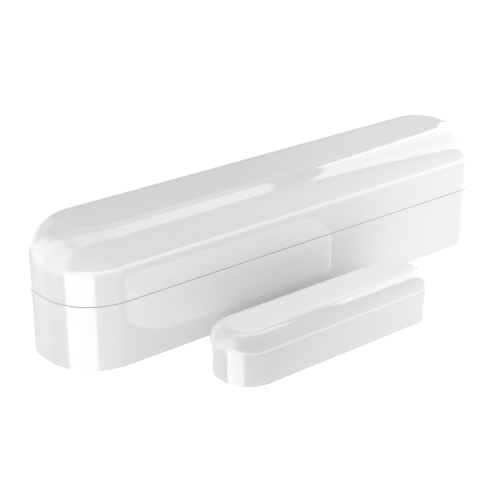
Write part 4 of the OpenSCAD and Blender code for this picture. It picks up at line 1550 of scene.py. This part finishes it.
def tamper_switch():
    """Switch under the board with a round opening and a contact disc facing down."""
    b = box_of("tamper_switch")
    z = b.z0
    body = cut(rbox(*b, 0.14, 3),
               lathe([(1.2, z - 0.2), (1.0, z + 0.08), (1.0, z + 0.3)], (TX, TY, 0)))
    disc = lathe([(0.99, z + 0.32), (0.99, z + 0.28), (0.6, z + 0.24), (0.3, z + 0.2),
                  (0, z + 0.19)], (TX, TY, 0), 32)
    parts = [paint(body, BLACK), paint(disc, NICKEL)]
    for s, t in CORNERS:
        x, y = TX + s * 2.6, TY + t * 1.5
        parts.append(paint(rbox(x - 0.42, y - 0.3, b.z1 - 0.16, x + 0.42, y + 0.3, b.z1 - 0.01,
                                0.03), TIN))
    place(merge("tamper_switch_body", parts), "tamper_switch")


def tamper_plunger():
    z0, z1 = PLUNGER.z0, PLUNGER.z1
    flange = FLOOR + 1.0
    pin = lathe([(0, z0), (0.7, z0 + 0.02), (1.15, z0 + 0.12), (1.36, z0 + 0.32),
                 (1.42, z0 + 0.6), (1.42, flange - 0.05), (1.48, flange), (2.22, flange),
                 (2.3, flange + 0.08), (2.3, flange + 0.42), (2.22, flange + 0.5),
                 (0.75, flange + 0.5), (0.62, flange + 0.6), (0.6, z1 - 0.2), (0.5, z1 - 0.05),
                 (0.3, z1), (0, z1)], (TX, TY, 0), 48, name="tamper_pin")
    place(paint(pin, GREY), "tamper_plunger", "plunger")


def tamper_spring(wire_r=0.14):
    """Coil standing between the sensor base and the plunger."""
    b = box_of("tamper_spring")
    coil = helix(1.5, 1.5, b.height - 2 * wire_r, turns=2.5, per=36, flat=0.14)
    ob = tube([p + Vector((TX, TY, b.z0 + wire_r)) for p in coil], wire_r, name="tamper_coil")
    smooth(paint(ob, SPRING), 40)
    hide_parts("tamper_spring")
    (b.z1 - 0.16) * MM
    (b.z0 + 0.16) * MM
    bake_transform(ob)


learn_switch()
learn_button()
tamper_switch()
tamper_plunger()
tamper_spring()


# ------------------------------------------------------------------ cell and its contacts
def cell_body():
    x0, tip = CELL.x0, CELL.x1
    x1 = tip - 1.0                  # shoulder; the positive button stands out beyond it
    r = CELL_R - 0.12
    profile = [
        (0, x0 + 0.28), (5.2, x0 + 0.28), (5.6, x0 + 0.2), (5.9, x0 + 0.04), (6.1, x0),
        (6.75, x0), (7.0, x0 + 0.08), (r, x0 + 0.35), (r, x1 - 0.3), (r - 0.1, x1 - 0.06),
        (r - 0.35, x1), (6.35, x1), (6.1, x1 - 0.12), (5.6, x1 - 0.35), (3.6, x1 - 0.35),
        (3.2, x1 - 0.3), (2.9, x1 - 0.1), (2.62, x1 + 0.1), (2.6, x1 + 0.75), (2.52, tip - 0.1),
        (2.35, tip), (0.9, tip), (0.7, tip - 0.05), (0, tip - 0.06)]
    ob = lathe(profile, (0, 0, CELL_Z), 96, "x", name="cell_body")
    place(paint(ob, CELL_STEEL), "cell_can", "cell")


def sleeve_print(row, i):
    """Material of a sleeve face: 0 green, 1 band, 2 print. The signs repeat three times round."""
    across = i % 32 - 16
    plus = (row == 44 and abs(across) <= 3) or (abs(row - 44) <= 3 and across == 0)
    minus = row == 5 and abs(across) <= 3
    if plus or minus or row == 36:
        return 2
    return 1 if 39 <= row < 50 else 0


def cell_sleeve(seg=96):
    """Shrink sleeve: a band at the positive end, with plus and minus signs."""
    b = box_of("cell_sleeve")
    x0, x1 = b.x0, b.x1
    r, inner = CELL_R, CELL_R - 0.11
    start, length = x0 + 0.12, x1 - 0.08 - x0 - 0.12
    lead_in = [(r - 0.75, x0 - 0.05), (r - 0.2, x0 - 0.07), (r - 0.06, x0 - 0.01)]
    rows = [(r, start + length * i / 50) for i in range(51)]
    profile = lead_in + rows + [
        (r - 0.03, x1 - 0.01), (inner + 0.02, x1), (inner, x1 - 0.05), (inner, x0 + 0.35),
        (inner - 0.1, x0 + 0.05), (r - 0.3, x0 - 0.01), (r - 0.75, x0)]
    ob = lathe(profile, (0, 0, CELL_Z), seg, "x", closed=True, name="cell_wrap_sleeve")
    for m in (WRAP, WRAP_BAND, WRAP_WHITE):
        ob.data.materials.append(m)
    for k, p in enumerate(ob.data.polygons):
        p.material_index = sleeve_print(k // seg - len(lead_in), k % seg)
    place(ob, "cell_sleeve", "cell", 40)


def cell_insulator():
    b = box_of("cell_insulator")
    x0, x1 = b.x0, b.x1
    ob = lathe([(2.92, x0), (2.9, x0 + 0.08), (2.9, x1 - 0.05), (2.95, x1), (6.9, x1),
                (7.1, x1 - 0.05), (7.1, x0)], (0, 0, CELL_Z), 72, "x", closed=True,
               name="insulating_ring")
    place(paint(ob, CARD_WHITE), "cell_insulator", "cell")


def cell_spring(wire_r=0.33):
    """Conical spring along X, narrowing towards +X."""
    b = box_of("cell_spring")
    coil = helix(4.2, 2.4, b.length - 2 * wire_r, turns=2.5, per=40)
    points = [(b.x0 + wire_r + p.z, p.y, CELL_Z - p.x) for p in coil]
    ob = tube(points, wire_r, 16, name="cell_contact_spring")
    place(paint(ob, SPRING), "cell_spring", angle=40)


SHEET = 0.3                         # thickness of both contact plates
TAB_Z = (TOP + 0.02, TOP + 0.32)    # tabs soldered flat on the board


def negative_contact():
    b = NEG
    x = b.x1 - SHEET
    plate = prism(rrect(b.cy, b.cz, b.width, b.height, 1.1), x, b.x1, "x", 0.04,
                  name="negative_plate")
    tab = [(b.x0 + 0.2, -1.5), (x + 0.1, -1.5), (x + 0.1, 1.5), (b.x0 + 0.2, 1.5),
           (b.x0, 1.25), (b.x0, -1.25)]
    fuse(plate, prism(tab, *TAB_Z, bevel=0.04))
    for s in SIGNS:                 # upright ribs on the plate
        fuse(plate, prism(rrect(s * 3.9, 7.5, 0.5, 5.0, 0.24), x - 0.12, x + 0.05, "x", 0.05))
    solder = mound(b.x0 + 0.35, 0, [(1.3, 0), (1.15, 0.2), (0.8, 0.42), (0.3, 0.5), (0, 0.5)],
                   seg=32)
    place(merge("negative_terminal_plate", [paint(plate, NICKEL), solder]),
          "negative_contact")


def positive_contact():
    """Plate at the cell's positive end with a strip that runs back to the board."""
    b = POS
    x, y, z = b.x1 - SHEET, b.y1, b.z0
    plate = prism(rrect(0, b.cz, 11.0, b.height, 1.1), x, b.x1, "x", 0.04, name="positive_plate")
    fuse(plate, prism([(5.0, z), (y, z), (y, z + 3.0), (5.0, z + 3.0)], x, b.x1, "x", 0.04))
    fuse(plate, rbox(b.x0, y - SHEET, z, b.x1, y, z + 3.0, 0.05))
    fuse(plate, rbox(b.x0, y - SHEET, z + 2.5, b.x0 + 1.0, y, TAB_Z[1], 0.05))
    fuse(plate, rbox(b.x0, 5.4, TAB_Z[0], b.x0 + 1.0, y, TAB_Z[1], 0.05))
    # dimple towards the cell
    fuse(plate, lathe([(1.5, x + 0.05), (1.3, x - 0.02), (0.9, x - 0.07), (0.4, x - 0.09),
                       (0, x - 0.09)], (0, 0, CELL_Z), 40, "x"))
    solder = mound(b.x0 + 0.5, 5.55, [(0.62, 0), (0.55, 0.18), (0.4, 0.4), (0, 0.46)])
    place(merge("positive_terminal_strip", [paint(plate, NICKEL), solder]),
          "positive_contact")


cell_body()
cell_sleeve()
cell_insulator()
cell_spring()
negative_contact()
positive_contact()


# ------------------------------------------------------------------ camera
def camera():
    """Looks from the front left and above at a point 8 mm over the sensor's underside."""
    azimuth, elevation, roll = -0.6925, 0.4081, 0.0087      # radians
    distance = 0.191711                                     # metres
    back = Vector((math.sin(azimuth) * math.cos(elevation),
                   -math.cos(azimuth) * math.cos(elevation), math.sin(elevation)))
    level = (-back).cross(Vector((0, 0, 1))).normalized()
    upright = level.cross(-back)
    right = math.cos(roll) * level + math.sin(roll) * upright
    up = -math.sin(roll) * level + math.cos(roll) * upright
    data = bpy.data.cameras.new("camera")
    ob = add_object("camera", data)
    matrix = Matrix((right, up, back)).transposed().to_4x4()
    matrix.translation = back * distance + Vector((0, 0, 0.008 + BASE.z0 * MM))
    ob.matrix_world = matrix
    data.sensor_width = 36
    data.lens = 95.76936
    data.shift_x, data.shift_y = -0.0402426, -0.0397652
    data.clip_start, data.clip_end = 0.005, 20
    bpy.context.scene.camera = ob


camera()


# ------------------------------------------------------------------ sizes
def corners(box):
    return [[round(float(v), 6) for v in corner] for corner in box]


{"cad": corners(cad_box), "visual": corners(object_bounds())}
